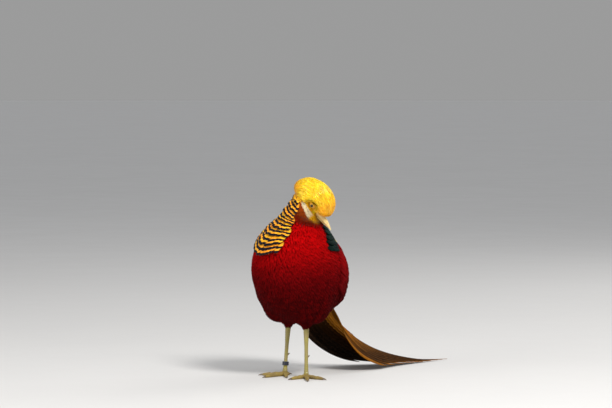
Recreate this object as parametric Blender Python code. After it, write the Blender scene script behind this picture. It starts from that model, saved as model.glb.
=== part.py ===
"""A golden pheasant cock, life-size, standing still with the head turned over the left shoulder.

Metres, +Z up. The origin lies under the sole of the left foot. The breast faces -Y, the bird's
left side is +X, and the tail runs towards +Y and lies along the floor at its end.
"""

import math

import bmesh
import bpy
import numpy as np
from mathutils import Matrix, Vector

MM = 0.001
GAP = 0.3 * MM
FLAT_ANGLE = 1.3

# The point on the floor midway between the feet, from which the body is laid out
MIDWAY = np.array([-0.023, 0.007, 0.0])

# Trunk: an egg on an axis that rises towards the breast
TRUNK_CENTRE = MIDWAY + np.array([0.000, 0.008, 0.170])
TRUNK_PITCH = math.radians(40)
TRUNK_FRONT = 89 * MM
TRUNK_REAR = 91 * MM
TRUNK_HALF_WIDTH = 72 * MM
TRUNK_BACK = 76 * MM
TRUNK_BELLY = 80 * MM

# Neck: a line of balls from inside the trunk to the back of the skull
NECK_LINE = MIDWAY + MM * np.array([[11, -14, 205], [14, -12, 230], [16, -11, 252], [18, -12, 266], [21, -13, 276]])
NECK_RADII = np.array([45, 38, 30.5, 23, 17.5]) * MM
NECK_BLEND = 24 * MM

# Head: the point between the eyes, the way the bill points, and the skull's half sizes
HEAD_CENTRE = MIDWAY + np.array([0.0315, -0.010, 0.2775])
HEAD_YAW = math.radians(103)
HEAD_PITCH = math.radians(-40)
HEAD_ROLL = math.radians(12)
SKULL_BACK_SHIFT = 4 * MM
SKULL_FRONT = 24 * MM
SKULL_REAR = 21 * MM
SKULL_HALF_WIDTH = 13.5 * MM
SKULL_UP = 21 * MM
SKULL_DOWN = 14 * MM
HEAD_BLEND = 10 * MM
CREST_DEPTH = 2.8 * MM

EYE_RADIUS = 4.3 * MM

# Legs and feet
FOOT_LEFT = MIDWAY + np.array([0.023, -0.007, 0.0])
FOOT_RIGHT = MIDWAY + np.array([-0.026, 0.007, 0.0])
HOCK_HEIGHT = 80 * MM
HOCK_BACK = 9 * MM
HOCK_LEFT = FOOT_LEFT + np.array([-0.005, HOCK_BACK, HOCK_HEIGHT])
HOCK_RIGHT = FOOT_RIGHT + np.array([0.001, HOCK_BACK, HOCK_HEIGHT])


def egg_axes():
    """The trunk's own axes: along it to the breast, out to the bird's left, and out through the back."""
    c, s = math.cos(TRUNK_PITCH), math.sin(TRUNK_PITCH)
    return np.array([[0, -c, s], [1, 0, 0], [0, s, c]])


def head_axes():
    """Rows: the way the bill points, the head's left, and the head's up."""
    heading = np.array([math.sin(HEAD_YAW), -math.cos(HEAD_YAW), 0.0])
    up = np.array([0.0, 0.0, 1.0])
    ahead = math.cos(HEAD_PITCH) * heading + math.sin(HEAD_PITCH) * up
    crown = math.cos(HEAD_PITCH) * up - math.sin(HEAD_PITCH) * heading
    left = np.cross(crown, ahead)
    c, s = math.cos(HEAD_ROLL), math.sin(HEAD_ROLL)
    return np.array([ahead, c * left + s * crown, c * crown - s * left])


AXES = egg_axes()
HEAD = head_axes()


def ball_distance(points, centre, axes, plus, minus):
    """Radial distance to an egg whose half sizes differ on the two sides of its centre."""
    local = (points - centre) @ axes.T
    size = np.where(local > 0, plus, minus)
    q = np.sqrt(((local / size) ** 2).sum(-1)) + 1e-9
    return np.linalg.norm(local, axis=-1) * (1 - 1 / q)


def trunk_distance(points):
    return ball_distance(
        points, TRUNK_CENTRE, AXES,
        np.array([TRUNK_FRONT, TRUNK_HALF_WIDTH, TRUNK_BACK]),
        np.array([TRUNK_REAR, TRUNK_HALF_WIDTH, TRUNK_BELLY]),
    )


def line_distance(points, line, radii):
    """Distance to a chain of cones between balls."""
    best = np.full(points.shape[:-1], 1e9)
    for a, b, ra, rb in zip(line[:-1], line[1:], radii[:-1], radii[1:]):
        along = b - a
        t = np.clip(((points - a) @ along) / (along @ along), 0, 1)
        away = np.linalg.norm(points - a - t[..., None] * along, axis=-1)
        best = np.minimum(best, away - (ra + (rb - ra) * t))
    return best


def skull_distance(points):
    centre = HEAD_CENTRE - SKULL_BACK_SHIFT * HEAD[0]
    return ball_distance(
        points, centre, HEAD,
        np.array([SKULL_FRONT, SKULL_HALF_WIDTH, SKULL_UP]),
        np.array([SKULL_REAR, SKULL_HALF_WIDTH, SKULL_DOWN]),
    )


def smooth_union(a, b, width):
    h = np.maximum(width - np.abs(a - b), 0) / width
    return np.minimum(a, b) - h * h * width / 4


def skin_distance(points):
    """The whole bird's skin, trunk, neck and skull, as one blended distance."""
    points = np.asarray(points, float)
    body = smooth_union(trunk_distance(points), line_distance(points, NECK_LINE, NECK_RADII), NECK_BLEND)
    return smooth_union(body, skull_distance(points), HEAD_BLEND)


def gradient(distance, points, step=0.2 * MM):
    sides = [distance(points + step * e) - distance(points - step * e) for e in np.eye(3)]
    return np.stack(sides, -1) / (2 * step)


def drape(points, height, distance=skin_distance, rounds=5):
    """Moves points along the field's slope until they stand at this height over the skin."""
    points = np.array(points, float)
    for _ in range(rounds):
        slope = gradient(distance, points)
        size = np.maximum((slope ** 2).sum(-1), 0.05)
        points = points - ((distance(points) - height) / size)[..., None] * slope
    return points


def reach(origin, directions, distance, far=0.2, steps=160):
    """How far from origin each ray leaves the shape for good."""
    ts = np.linspace(0, far, steps)
    values = distance(origin + directions[:, None, :] * ts[None, :, None])
    last = steps - 1 - np.argmax(values[:, ::-1] < 0, axis=1)
    last = np.minimum(last, steps - 2)
    rows = np.arange(len(directions))
    a, b = values[rows, last], values[rows, last + 1]
    return ts[last] + (ts[1] - ts[0]) * a / (a - b)


def material(name, colour, roughness=0.6):
    mat = bpy.data.materials.new(name)
    mat.use_nodes = True
    shader = mat.node_tree.nodes["Principled BSDF"]
    shader.inputs["Base Color"].default_value = (*colour, 1)
    shader.inputs["Roughness"].default_value = roughness
    shader.inputs["Metallic"].default_value = 0
    return mat


def mesh_object(name, points, faces, mat=None):
    mesh = bpy.data.meshes.new(name)
    mesh.from_pydata([tuple(p) for p in points], [], [tuple(int(i) for i in f) for f in faces])
    mesh.validate()
    obj = bpy.data.objects.new(name, mesh)
    bpy.context.scene.collection.objects.link(obj)
    if mat:
        mesh.materials.append(mat)
    return obj


def ball_grid(rings, around):
    """Unit directions on rings between two poles, and the closed faces over them."""
    polar = math.pi * np.arange(1, rings) / rings
    turn = 2 * math.pi * np.arange(around) / around
    p, t = np.meshgrid(polar, turn, indexing="ij")
    grid = np.stack([np.sin(p) * np.cos(t), np.sin(p) * np.sin(t), np.cos(p)], -1).reshape(-1, 3)
    points = np.vstack([grid, [[0, 0, 1]], [[0, 0, -1]]])
    top, bottom = len(grid), len(grid) + 1
    faces = []
    for j in range(around):
        k = (j + 1) % around
        faces.append((top, j, k))
        faces.append((bottom, (rings - 2) * around + k, (rings - 2) * around + j))
        for i in range(rings - 2):
            faces.append((i * around + j, (i + 1) * around + j, (i + 1) * around + k, i * around + k))
    return points, faces


def star_solid(name, origin, axes, distance, rings, around, mat=None, stretch=(1, 1, 1), far=0.2):
    """A closed body found by rays from one point inside the shape."""
    unit, faces = ball_grid(rings, around)
    directions = (unit * np.array(stretch)) @ axes
    directions /= np.linalg.norm(directions, axis=1, keepdims=True)
    points = origin + directions * reach(origin, directions, distance, far)[:, None]
    return mesh_object(name, points, faces, mat)


def sheet_solid(name, top, bottom, mat=None):
    """A closed solid between two grids of points, split into triangles alike on both faces."""
    n, m = top.shape[:2]
    points = np.vstack([top.reshape(-1, 3), bottom.reshape(-1, 3)])
    index = np.arange(n * m).reshape(n, m)
    low = index + n * m
    faces = []
    for i in range(n - 1):
        for j in range(m - 1):
            a, b, c, d = index[i, j], index[i + 1, j], index[i + 1, j + 1], index[i, j + 1]
            faces += [(a, b, c), (a, c, d)]
            a, b, c, d = low[i, j], low[i + 1, j], low[i + 1, j + 1], low[i, j + 1]
            faces += [(a, c, b), (a, d, c)]
    rim = list(index[:, 0]) + list(index[-1, 1:]) + list(index[-2::-1, -1]) + list(index[0, -2:0:-1])
    under = [r + n * m for r in rim]
    for k in range(len(rim)):
        j = (k + 1) % len(rim)
        faces += [(rim[j], rim[k], under[k]), (rim[j], under[k], under[j])]
    obj = mesh_object(name, points, faces, mat)
    face_out(obj)
    return obj


def vane(place, root, tip, width, heights, thick, profile=(0.6, 1.0, 0.4), bend=0.0, arch=0.25):
    """One feather over a surface: place turns two coordinates and a height into a point.

    Root and tip are coordinates, width is a half width in the second one, heights are the top's at
    the root and the tip, and arch is how much of the thickness the middle rises over the edges.
    """
    s = np.linspace(0, 1, len(profile))[:, None] * np.ones((1, 3))
    side = np.array([-1.0, 0.0, 1.0])[None, :] * np.array(profile)[:, None]
    u = root[0] + (tip[0] - root[0]) * s
    v = root[1] + (tip[1] - root[1]) * s + width * side + bend * np.sin(math.pi * s)
    u = u - 0.12 * (tip[0] - root[0]) * np.abs(side) * (s > 0.5)
    top = heights[0] + (heights[1] - heights[0]) * s + arch * thick * (1 - np.abs(side))
    return sheet_solid("vane", place(u, v, top), place(u, v, top - thick))


def face_out(obj):
    """Turns a closed mesh's faces outwards, by the sign of its volume."""
    mesh = bmesh.new()
    mesh.from_mesh(obj.data)
    bmesh.ops.triangulate(mesh, faces=mesh.faces)
    if mesh.calc_volume(signed=True) < 0:
        bmesh.ops.reverse_faces(mesh, faces=mesh.faces)
    mesh.to_mesh(obj.data)
    mesh.free()


def cut_flat(obj, point, normal):
    """Keeps the part of a closed mesh on the side that normal points away from, and closes the cut."""
    mesh = bmesh.new()
    mesh.from_mesh(obj.data)
    geometry = mesh.verts[:] + mesh.edges[:] + mesh.faces[:]
    bmesh.ops.bisect_plane(mesh, geom=geometry, plane_co=Vector(point), plane_no=Vector(normal), clear_outer=True)
    open_edges = [e for e in mesh.edges if len(e.link_faces) == 1]
    bmesh.ops.edgeloop_fill(mesh, edges=open_edges)
    bmesh.ops.triangulate(mesh, faces=mesh.faces)
    bmesh.ops.recalc_face_normals(mesh, faces=mesh.faces)
    mesh.to_mesh(obj.data)
    mesh.free()
    face_out(obj)


def boolean(obj, others, operation, solver="MANIFOLD"):
    """Joins or cuts a mesh with a set of closed meshes, which are then removed."""
    helpers = bpy.data.collections.new(obj.name + "_" + operation.lower())
    bpy.context.scene.collection.children.link(helpers)
    for other in others:
        helpers.objects.link(other)
        bpy.context.scene.collection.objects.unlink(other)
    modifier = obj.modifiers.new(operation.lower(), "BOOLEAN")
    modifier.operation = operation
    modifier.operand_type = "COLLECTION"
    modifier.collection = helpers
    modifier.solver = solver
    graph = bpy.context.evaluated_depsgraph_get()
    made = bpy.data.meshes.new_from_object(obj.evaluated_get(graph))
    obj.modifiers.clear()
    old = obj.data
    obj.data = made
    bpy.data.meshes.remove(old)
    for other in list(helpers.objects):
        bpy.data.objects.remove(other)
    bpy.data.collections.remove(helpers)
    keep_largest(obj)


def keep_largest(obj):
    """Keeps a mesh's largest closed surface, so that sealed hollows fill and loose scraps go."""
    mesh = bmesh.new()
    mesh.from_mesh(obj.data)
    bmesh.ops.remove_doubles(mesh, verts=mesh.verts, dist=2e-6)
    bmesh.ops.triangulate(mesh, faces=mesh.faces)
    seen, shells = set(), []
    for start in mesh.faces:
        if start in seen:
            continue
        shell, queue = [], [start]
        seen.add(start)
        while queue:
            face = queue.pop()
            shell.append(face)
            for edge in face.edges:
                if len(edge.link_faces) == 2:
                    for other in edge.link_faces:
                        if other not in seen:
                            seen.add(other)
                            queue.append(other)
        shells.append(shell)
    sizes = [np.ptp(np.array([v.co for f in shell for v in f.verts]), axis=0).prod() for shell in shells]
    largest = int(np.argmax(sizes))
    loose = [f for k, shell in enumerate(shells) if k != largest for f in shell]
    bmesh.ops.delete(mesh, geom=loose, context="FACES")
    bmesh.ops.dissolve_limit(mesh, angle_limit=math.radians(FLAT_ANGLE), use_dissolve_boundaries=False,
                             verts=mesh.verts, edges=mesh.edges)
    bmesh.ops.triangulate(mesh, faces=mesh.faces)
    mesh.to_mesh(obj.data)
    mesh.free()


def tube(name, line, radii, sides=8, mat=None, flat=1.0):
    """A closed tube of round sections along a line, with its height scaled by flat."""
    line, radii = np.asarray(line, float), np.asarray(radii, float)
    tangents = np.gradient(line, axis=0)
    tangents /= np.linalg.norm(tangents, axis=1, keepdims=True)
    guide = np.array([0, 0, 1.0]) if abs(tangents[0][2]) < 0.8 else np.array([0, 1.0, 0])
    across = np.cross(tangents, guide)
    across /= np.linalg.norm(across, axis=1, keepdims=True)
    up = np.cross(across, tangents)
    turn = 2 * math.pi * (np.arange(sides) + 0.5) / sides
    ring = np.cos(turn)[None, :, None] * across[:, None, :] + flat * np.sin(turn)[None, :, None] * up[:, None, :]
    points = line[:, None, :] + ring * radii[:, None, None]
    n = len(line)
    faces = []
    for i in range(n - 1):
        for j in range(sides):
            k = (j + 1) % sides
            faces.append((i * sides + j, i * sides + k, (i + 1) * sides + k, (i + 1) * sides + j))
    faces.append(tuple(range(sides))[::-1])
    faces.append(tuple((n - 1) * sides + j for j in range(sides)))
    obj = mesh_object(name, points.reshape(-1, 3), faces, mat)
    face_out(obj)
    return obj


def trunk_point(along, side, height=0.0):
    """A point over the trunk: along from -90 at the rear to 90 at the breast, side from the back to the left."""
    a, s = np.radians(along), np.radians(side)
    long = np.where(np.sin(a) > 0, TRUNK_FRONT, TRUNK_REAR)
    deep = np.where(np.cos(s) > 0, TRUNK_BACK, TRUNK_BELLY)
    local = np.stack([
        long * np.sin(a),
        TRUNK_HALF_WIDTH * np.cos(a) * np.sin(s),
        deep * np.cos(a) * np.cos(s),
    ], -1)
    return drape(TRUNK_CENTRE + local @ AXES, height, trunk_distance)


# Tiers of feathers: where each starts, and how many it has
CAPE_TIERS = (-0.02, 0.17, 0.36, 0.55, 0.74)
CAPE_COUNTS = (6, 7, 8, 8, 9)
CAPE_STATIONS = (-0.03, 0.15, 0.33, 0.51, 0.70, 0.88)
SEED = 11


# The two planes that part torso, neck and head
NECK_AXIS = np.array([0.18, 0.02, 0.983])
NECK_AXIS = NECK_AXIS / np.linalg.norm(NECK_AXIS)
NECK_FOOT = MIDWAY + np.array([14, -12, 250]) * MM
NECK_TOP = MIDWAY + np.array([17, -12, 263]) * MM


def world_ring(psi):
    """Directions square to the neck axis, psi in degrees from the bird's front towards its left."""
    a = np.radians(psi)
    flat = np.stack([np.sin(a), -np.cos(a), np.zeros_like(a)], -1)
    flat = flat - (flat @ NECK_AXIS)[..., None] * NECK_AXIS
    return flat / np.linalg.norm(flat, axis=-1, keepdims=True)


def body_field(points):
    """Trunk and the neck's foot, without the head."""
    stub = line_distance(points, NECK_LINE[:3], NECK_RADII[:3])
    return smooth_union(trunk_distance(points), stub, NECK_BLEND)


def head_field(points):
    """Skull and the neck's top, without the trunk."""
    neck = line_distance(points, NECK_LINE[2:], NECK_RADII[2:])
    return smooth_union(skull_distance(points), neck, HEAD_BLEND)


def build_torso(grow=0.0, rings=26, around=36):
    obj = star_solid("torso", TRUNK_CENTRE, AXES[[1, 2, 0]], lambda p: body_field(p) - grow, rings, around,
                     material("breast_red", (0.55, 0.03, 0.02)))
    cut_flat(obj, NECK_FOOT + (grow - GAP / 2) * NECK_AXIS, NECK_AXIS)
    return obj


def build_neck(grow=0.0):
    """Rings square to the neck axis between the two planes."""
    turns, rows = 28, []
    ways = world_ring(np.arange(turns) * 360 / turns)
    length = (NECK_TOP - NECK_FOOT) @ NECK_AXIS
    drift = (NECK_TOP - NECK_FOOT) - length * NECK_AXIS
    for s in np.linspace(GAP / 2 - grow, length - GAP / 2 + grow, 5):
        centre = NECK_FOOT + s * NECK_AXIS + drift * s / length
        field = lambda p: skin_distance(p) - grow
        rows.append(centre + ways * reach(centre, ways, field, 0.045, 90)[:, None])
    rows = np.array(rows)
    faces = [(i * turns + j, i * turns + (j + 1) % turns, (i + 1) * turns + (j + 1) % turns, (i + 1) * turns + j)
             for i in range(len(rows) - 1) for j in range(turns)]
    faces += [tuple(range(turns))[::-1], tuple((len(rows) - 1) * turns + j for j in range(turns))]
    obj = mesh_object("neck", rows.reshape(-1, 3), faces, material("neck_red", (0.6, 0.06, 0.02)))
    face_out(obj)
    return obj


def head_point(ahead, left, up):
    """A point given in the head's own millimetres from the point between the eyes."""
    return HEAD_CENTRE + MM * (np.stack(np.broadcast_arrays(ahead, left, up), -1) @ HEAD)


def build_head(grow=0.0, rings=22, around=32):
    obj = star_solid("head", head_point(-4, 0, 0), HEAD, lambda p: head_field(p) - grow, rings, around,
                     material("face_tan", (0.62, 0.35, 0.14)), far=0.06)
    cut_flat(obj, NECK_TOP + (GAP / 2 - grow) * NECK_AXIS, -NECK_AXIS)
    return obj


def bill_heights(x):
    """Half width, ridge, mouth and floor in the head's millimetres at a distance ahead of the eyes."""
    s = np.clip((x - 13) / 39.5, 0, 1)
    width = 6.8 * (1 - s) ** 0.6 + 0.5
    ridge = 5.0 - 1.8 * s - 10.0 * s ** 2.5
    mouth = -3.6 - 0.4 * s - 3.4 * s ** 2
    floor = -8.6 + 1.2 * s - 0.6 * s ** 2
    return width, ridge, mouth, floor


def build_bill(name, upper, mat, grow=0.0):
    """One half of the bill as a loft of half rounds that hooks down at its tip."""
    turns, rows = 9, []
    g = grow / MM
    for x in np.linspace(13.0, 52.5 if upper else 46.5, 9):
        width, ridge, mouth, floor = bill_heights(x)
        a = np.linspace(0, math.pi, turns)
        if upper:
            left = (width + g) * np.cos(a)
            up = mouth - g + (max(ridge - mouth, 0.9) + 2 * g) * np.sin(a) ** 0.9
        else:
            left = (0.86 * width * min(1, (50 - x) / 10) + g) * np.cos(a)
            up = mouth - 0.35 + g - (max(mouth - floor - 0.35, 0.6) + 2 * g) * np.sin(a) ** 0.9
        rows.append(head_point((x + (g if x > 40 else 0)) * np.ones_like(left), left, up))
    rows = np.array(rows)
    n = rows.shape[1]
    faces = [(i * n + j, i * n + (j + 1) % n, (i + 1) * n + (j + 1) % n, (i + 1) * n + j)
             for i in range(len(rows) - 1) for j in range(n)]
    faces += [tuple(range(n))[::-1], tuple((len(rows) - 1) * n + j for j in range(n))]
    obj = mesh_object(name, rows.reshape(-1, 3), faces, mat)
    face_out(obj)
    return obj


def eye_centre(side):
    """The eye's middle, set so that a third of the ball stands out of the face."""
    start = head_point(5.0, 0, 8.5)
    way = side * HEAD[1] + 0.12 * HEAD[0]
    way = way / np.linalg.norm(way)
    out = reach(start, way[None], head_field, 0.04)[0]
    return start + (out - 0.45 * EYE_RADIUS) * way


def build_eye(name, side, mat=None, grow=0.0):
    centre = eye_centre(side)
    return star_solid(name, centre, HEAD, lambda p: np.linalg.norm(p - centre, axis=-1) - EYE_RADIUS - grow,
                      8, 12, mat, far=0.01)


def build_lid_cutter(side):
    centre = eye_centre(side) - 2.2 * MM * side * HEAD[1]
    return star_solid("cut", centre, HEAD,
                      lambda p: np.linalg.norm(p - centre, axis=-1) - EYE_RADIUS - 1.0 * MM - GAP, 8, 14, far=0.02)


def build_face(head):
    """Eyes in lidded sockets, the mouth's line, and the bill halves fitted to the head."""
    horn = material("bill_horn", (0.72, 0.60, 0.36), 0.35)
    iris = material("eye_pale_yellow", (0.80, 0.62, 0.15), 0.1)
    lids = []
    for side in (1, -1):
        way = side * HEAD[1]
        centre = eye_centre(side) - 2.2 * MM * way
        lids.append(star_solid("lid", centre, HEAD,
                               lambda p: np.linalg.norm(p - centre, axis=-1) - EYE_RADIUS - 1.0 * MM, 7, 12, far=0.02))
    boolean(head, lids, "UNION")
    slit = star_solid("slit", head_point(21, 0, -4.0), HEAD,
                      lambda p: box_distance(p, head_point(21, 0, -4.0), HEAD, np.array([7.5, 16, 0.3]) * MM),
                      8, 12, far=0.03)
    boolean(head, [build_eye("socket", 1, None, GAP), build_eye("socket", -1, None, GAP), slit], "DIFFERENCE")
    for name, upper in (("beak_upper", True), ("beak_lower", False)):
        bill = build_bill(name, upper, horn)
        pits = []
        if upper:
            for side in (1, -1):
                pit = head_point(25.5, side * 5.6, 1.2)
                pits.append(star_solid("pit", pit, HEAD, lambda p: ball_distance(
                    p, pit, HEAD, np.array([2.0, 1.1, 0.9]) * MM, np.array([2.0, 1.1, 0.9]) * MM), 6, 10, far=0.01))
        boolean(bill, [build_head(GAP), build_neck(GAP)] + pits, "DIFFERENCE")
    for name, side in (("eye_left", 1), ("eye_right", -1)):
        build_eye(name, side, iris)


def box_distance(points, centre, axes, half):
    local = np.abs((points - centre) @ axes.T) - half
    return local.max(-1)


def crest_middle():
    return head_point(1.5, 0, 12.5)


def crest_field(points):
    """The crest's dome in the head's frame."""
    return ball_distance(points, crest_middle(), HEAD,
                         np.array([38, 21, 33]) * MM, np.array([41, 21, 16]) * MM)


def crest_place(a, b, height):
    """A point over the crest's dome: a in degrees from the bill over the crown to the nape, b to the left."""
    a, b = np.radians(a), np.radians(b)
    way = np.stack([np.cos(a) * np.cos(b), np.sin(b) + 0 * a, np.sin(a) * np.cos(b)], -1) @ HEAD
    return drape(crest_middle() + 30 * MM * way, height, crest_field)


def crest_dome(grow=0.0):
    obj = star_solid("crest", crest_middle(), HEAD, lambda p: crest_field(p) + CREST_DEPTH - grow, 11, 16,
                     material("crest_gold", (0.95, 0.62, 0.05)), far=0.06)
    brim = HEAD[2] + 0.22 * HEAD[0]
    brim = brim / np.linalg.norm(brim)
    cut_flat(obj, head_point(0, 0, 5.0) - grow * brim, -brim)
    return obj


def build_crest(rng):
    """Silky locks that stream from the bill over the crown, the last ones free over the nape."""
    crest = crest_dome()
    locks = []
    for start, end, count, spread in ((4, 84, 3, 36), (58, 142, 3, 44), (116, 210, 3, 48)):
        pitch = 2 * spread / count
        for j in range(count):
            b = -spread + (j + 0.5) * pitch
            locks.append(vane(crest_place, (start, b * 0.9), (end + rng.uniform(-4, 4), b * 1.02), 0.47 * pitch,
                              (-CREST_DEPTH - 0.4 * MM, 0.2 * MM), 1.0 * MM, (0.7, 1.0, 0.9, 0.2)))
    boolean(crest, locks, "UNION")
    return crest


def build_window(side):
    """The hollow in the crest's side that leaves the eye and its bare ring free."""
    centre = head_point(8, side * 22, 7)
    half = np.array([12, 11.5, 13]) * MM
    return star_solid("cut", centre, HEAD, lambda p: ball_distance(p, centre, HEAD, half, half), 9, 14, far=0.03)


def crest_cutter():
    obj = star_solid("cut", crest_middle(), HEAD, lambda p: crest_field(p) - 1.2 * MM, 14, 20, far=0.07)
    brim = HEAD[2] + 0.22 * HEAD[0]
    brim = brim / np.linalg.norm(brim)
    cut_flat(obj, head_point(0, 0, 4.6), -brim)
    return obj


def cape_point(t, psi, height):
    """A point over the neck and shoulders: t from 0 at the nape to 1 at the cape's lower edge."""
    t, psi = np.broadcast_arrays(np.asarray(t, float), np.asarray(psi, float))
    t = t * (1 - 0.52 * np.clip((-psi - 62) / 150, 0, 1))
    top, foot = MIDWAY + np.array([22, -13, 282]) * MM, MIDWAY + np.array([6, -20, 198]) * MM
    centre = top + t[..., None] * (foot - top)
    radius = (20 + 18 * t + 20 * t ** 2) * MM
    seeds = centre + radius[..., None] * world_ring(psi)
    return drape(seeds, height)


def cape_span(t):
    """The cape's two side edges, in degrees from the bird's front."""
    return 28 + 0 * t - 22 * t ** 3, -205 - 33 * np.clip(t / 0.4, 0, 1) + 8 * np.clip((t - 0.4) / 0.6, 0, 1)


def cape_sheet(stations, low, high, grow=0.0, turns=13):
    """A layer between two heights over the cape's mean surface, at the given stations down the neck."""
    t = np.array(stations)[:, None] * np.ones((1, turns))
    v = np.linspace(0, 1, turns)[None, :] * np.ones((len(stations), 1))
    g = grow / MM
    one, two = cape_span(np.clip(t, 0, 1))
    psi = (one + g) + (two - one - 2 * g) * v
    mat = material("cape_orange", (0.90, 0.30, 0.02))
    middle = cape_height(t)
    return sheet_solid("cape", cape_point(t, psi, middle + high), cape_point(t, psi, middle + low), mat)


def cape_height(t):
    """The cape feathers' mean height over the skin, higher where they lie on the mantle."""
    return (2.4 + 1.4 * np.clip((t - 0.45) / 0.3, 0, 1)) * MM


def cape_place(t, v, height):
    one, two = cape_span(np.clip(t, 0, 1))
    return cape_point(t, one + (two - one) * v, cape_height(t) + height)


def build_cape(rng):
    """Square-ended feathers in tiers from the nape down over the shoulders, on one thin layer."""
    cape = cape_sheet(CAPE_STATIONS, -1.5 * MM, 0)
    vanes = []
    for k, (start, count) in enumerate(zip(CAPE_TIERS, CAPE_COUNTS)):
        pitch = 1 / count
        for j in range(count):
            v = (j + 0.5 + 0.25 * (-1) ** k) * pitch * 0.97 + 0.015
            end = min(start + 0.30 + rng.uniform(-0.015, 0.015), 1.01)
            vanes.append(vane(cape_place, (start, v), (end, v + rng.uniform(-0.008, 0.008)), 0.46 * pitch,
                              (-0.3 * MM, 2.3 * MM), 0.75 * MM, (0.7, 1.0, 0.8)))
    boolean(cape, vanes, "UNION")
    return cape


def cape_cutter():
    """The whole room that the cape takes, for cutting its neighbours."""
    return cape_sheet(CAPE_STATIONS + (1.03,), -1.5 * MM - 2 * GAP, 3.6 * MM, GAP)


def back_point(along, side, height):
    """A point over the trunk and the neck's foot."""
    return drape(trunk_point(along, side, 4 * MM), height, body_field)


def back_sheet(name, first, last, half_first, half_last, high, mat, grow=0.0, n=10, m=14):
    """A patch over the back between two stations, as wide each side of the middle as its half angles."""
    g = grow / MM
    u = np.linspace(first + g, last - g, n)[:, None] * np.ones((1, m))
    v = np.linspace(-1, 1, m)[None, :] * np.ones((n, 1))
    half = half_first + (half_last - half_first) * (first - u) / (first - last) + g
    side = half * v
    low = 1.6 * MM - (3 * MM if grow else 0)
    return sheet_solid(name, back_point(u, side, high * MM + grow), back_point(u, side, low), mat)


def tiers_on(base, place, rows, rng, heights, thick, profile):
    """Joins rows of feathers to a layer: each row is start, end, first side, last side and count."""
    vanes = []
    for start, end, one, two, count in rows:
        pitch = (two - one) / count
        for j in range(count):
            v = one + (j + 0.5) * pitch
            reach_to = end + (end - start) * rng.uniform(-0.05, 0.05)
            vanes.append(vane(place, (start, v), (reach_to, v * (1 + rng.uniform(-0.02, 0.02))), 0.47 * pitch,
                              heights, thick, profile))
    boolean(base, vanes, "UNION")


def build_mantle(rng):
    mat = material("mantle_green", (0.02, 0.16, 0.08), 0.35)
    base = back_sheet("mantle", 32, 0, 66, 62, 2.6, mat, 0.0, 6, 9)
    rows = [(30, 9, -64, 64, 6), (17, -2, -60, 60, 6)]
    tiers_on(base, back_point, rows, rng, (1.9 * MM, 4.2 * MM), 0.75 * MM, (0.7, 1.0, 0.6))
    return base


def build_rump(rng):
    mat = material("rump_gold", (0.95, 0.55, 0.03))
    base = back_sheet("rump", -3.5, -62, 45, 38, 2.7, mat, 0.0, 7, 8)
    rows = [(-6, -29, -42, 42, 4), (-20, -47, -40, 40, 5), (-38, -67, -35, 35, 4)]
    tiers_on(base, back_point, rows, rng, (1.9 * MM, 4.2 * MM), 0.75 * MM, (0.65, 1.0, 0.25))
    return base


def rump_cutter():
    return back_sheet("cut", -3.5, -68, 46, 38, 4.6, None, GAP, 8, 10)


def wing_place(side):
    """The wing's own two coordinates: s from the shoulder to the tip, w from its upper to its lower edge."""
    def place(s, w, height):
        along = (-8 - 20 * w) * (1 - s) - 72 * s
        rear = np.maximum(s - 0.45, 0)
        upper = 48 - 20 * rear
        lower = 90 + 8 * np.sin(math.pi * np.clip(s * 1.15, 0, 1)) - 44 * rear
        return back_point(along, side * (upper + (lower - upper) * w), height)
    return place


def wing_sheet(name, side, high, mat, grow=0.0, last=0.47, n=5):
    m = 5
    g = grow / MM
    s = np.linspace(-g / 150, last + g / 150, n)[:, None] * np.ones((1, m))
    w = np.linspace(-g / 22, 1 + g / 22, m)[None, :] * np.ones((n, 1))
    place = wing_place(side)
    return sheet_solid(name, place(s, w, high + grow + 0 * s), place(s, w, 1.6 * MM - 5 * grow + 0 * s), mat)


def build_wing(name, side, rng):
    """Flight feathers, three rows of coverts and the long shoulder feathers on one thin layer."""
    mat = material(name + "_chestnut", (0.20, 0.05, 0.02))
    wing = wing_sheet(name, side, 2.8 * MM, mat)
    place = wing_place(side)
    vanes = []
    for j in range(5):
        w = 0.22 + 0.16 * j
        vanes.append(vane(place, (0.41, w), (0.88 + 0.03 * j, w - 0.02), 0.074, (2.6 * MM, 3.5 * MM), 0.8 * MM,
                          (0.8, 1.0, 1.0, 0.95, 0.35)))
    for start, end, count, lift in ((0.22, 0.56, 4, 5.1), (0.06, 0.34, 3, 5.4)):
        for j in range(count):
            w = 0.17 + 0.8 * (j + 0.5) / count
            vanes.append(vane(place, (start, w), (end + rng.uniform(-0.01, 0.01), w), 0.37 / count,
                              (2.5 * MM, lift * MM), 0.8 * MM, (0.7, 1.0, 0.5)))
    for j in range(2):
        s = 0.08 + 0.24 * j
        vanes.append(vane(place, (s, 0.085), (s + 0.40, 0.10), 0.075, (2.5 * MM, 4.9 * MM), 0.8 * MM,
                          (0.7, 1.0, 0.25)))
    boolean(wing, vanes, "UNION")
    return wing


def wing_cutter(side):
    return wing_sheet("cut", side, 7.5 * MM, None, 1.8 * GAP, 1.04, 9)


# The tail's middle line, from inside the rump to its tip on the floor
TAIL_LINE = MIDWAY + MM * np.array([
    [-2, 76, 122], [-4, 94, 101], [-4, 118, 74], [8, 150, 46], [24, 188, 24], [41, 232, 11],
    [60, 285, 2.5], [74, 325, 0.6], [84, 352, 0.3],
])
TAIL_HALF = np.array([26, 38, 54, 60, 54, 36, 17, 6, 1.5]) * MM


def tail_frame():
    """For each station of the tail: its left, and its up square to the line."""
    tangents = np.gradient(TAIL_LINE, axis=0)
    tangents /= np.linalg.norm(tangents, axis=1, keepdims=True)
    left = np.cross([0, 0, 1.0], tangents)
    left *= -1 / np.linalg.norm(left, axis=1, keepdims=True)
    up = np.cross(tangents, left)
    up *= np.sign(up[:, 2:3])
    return left, up


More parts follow.
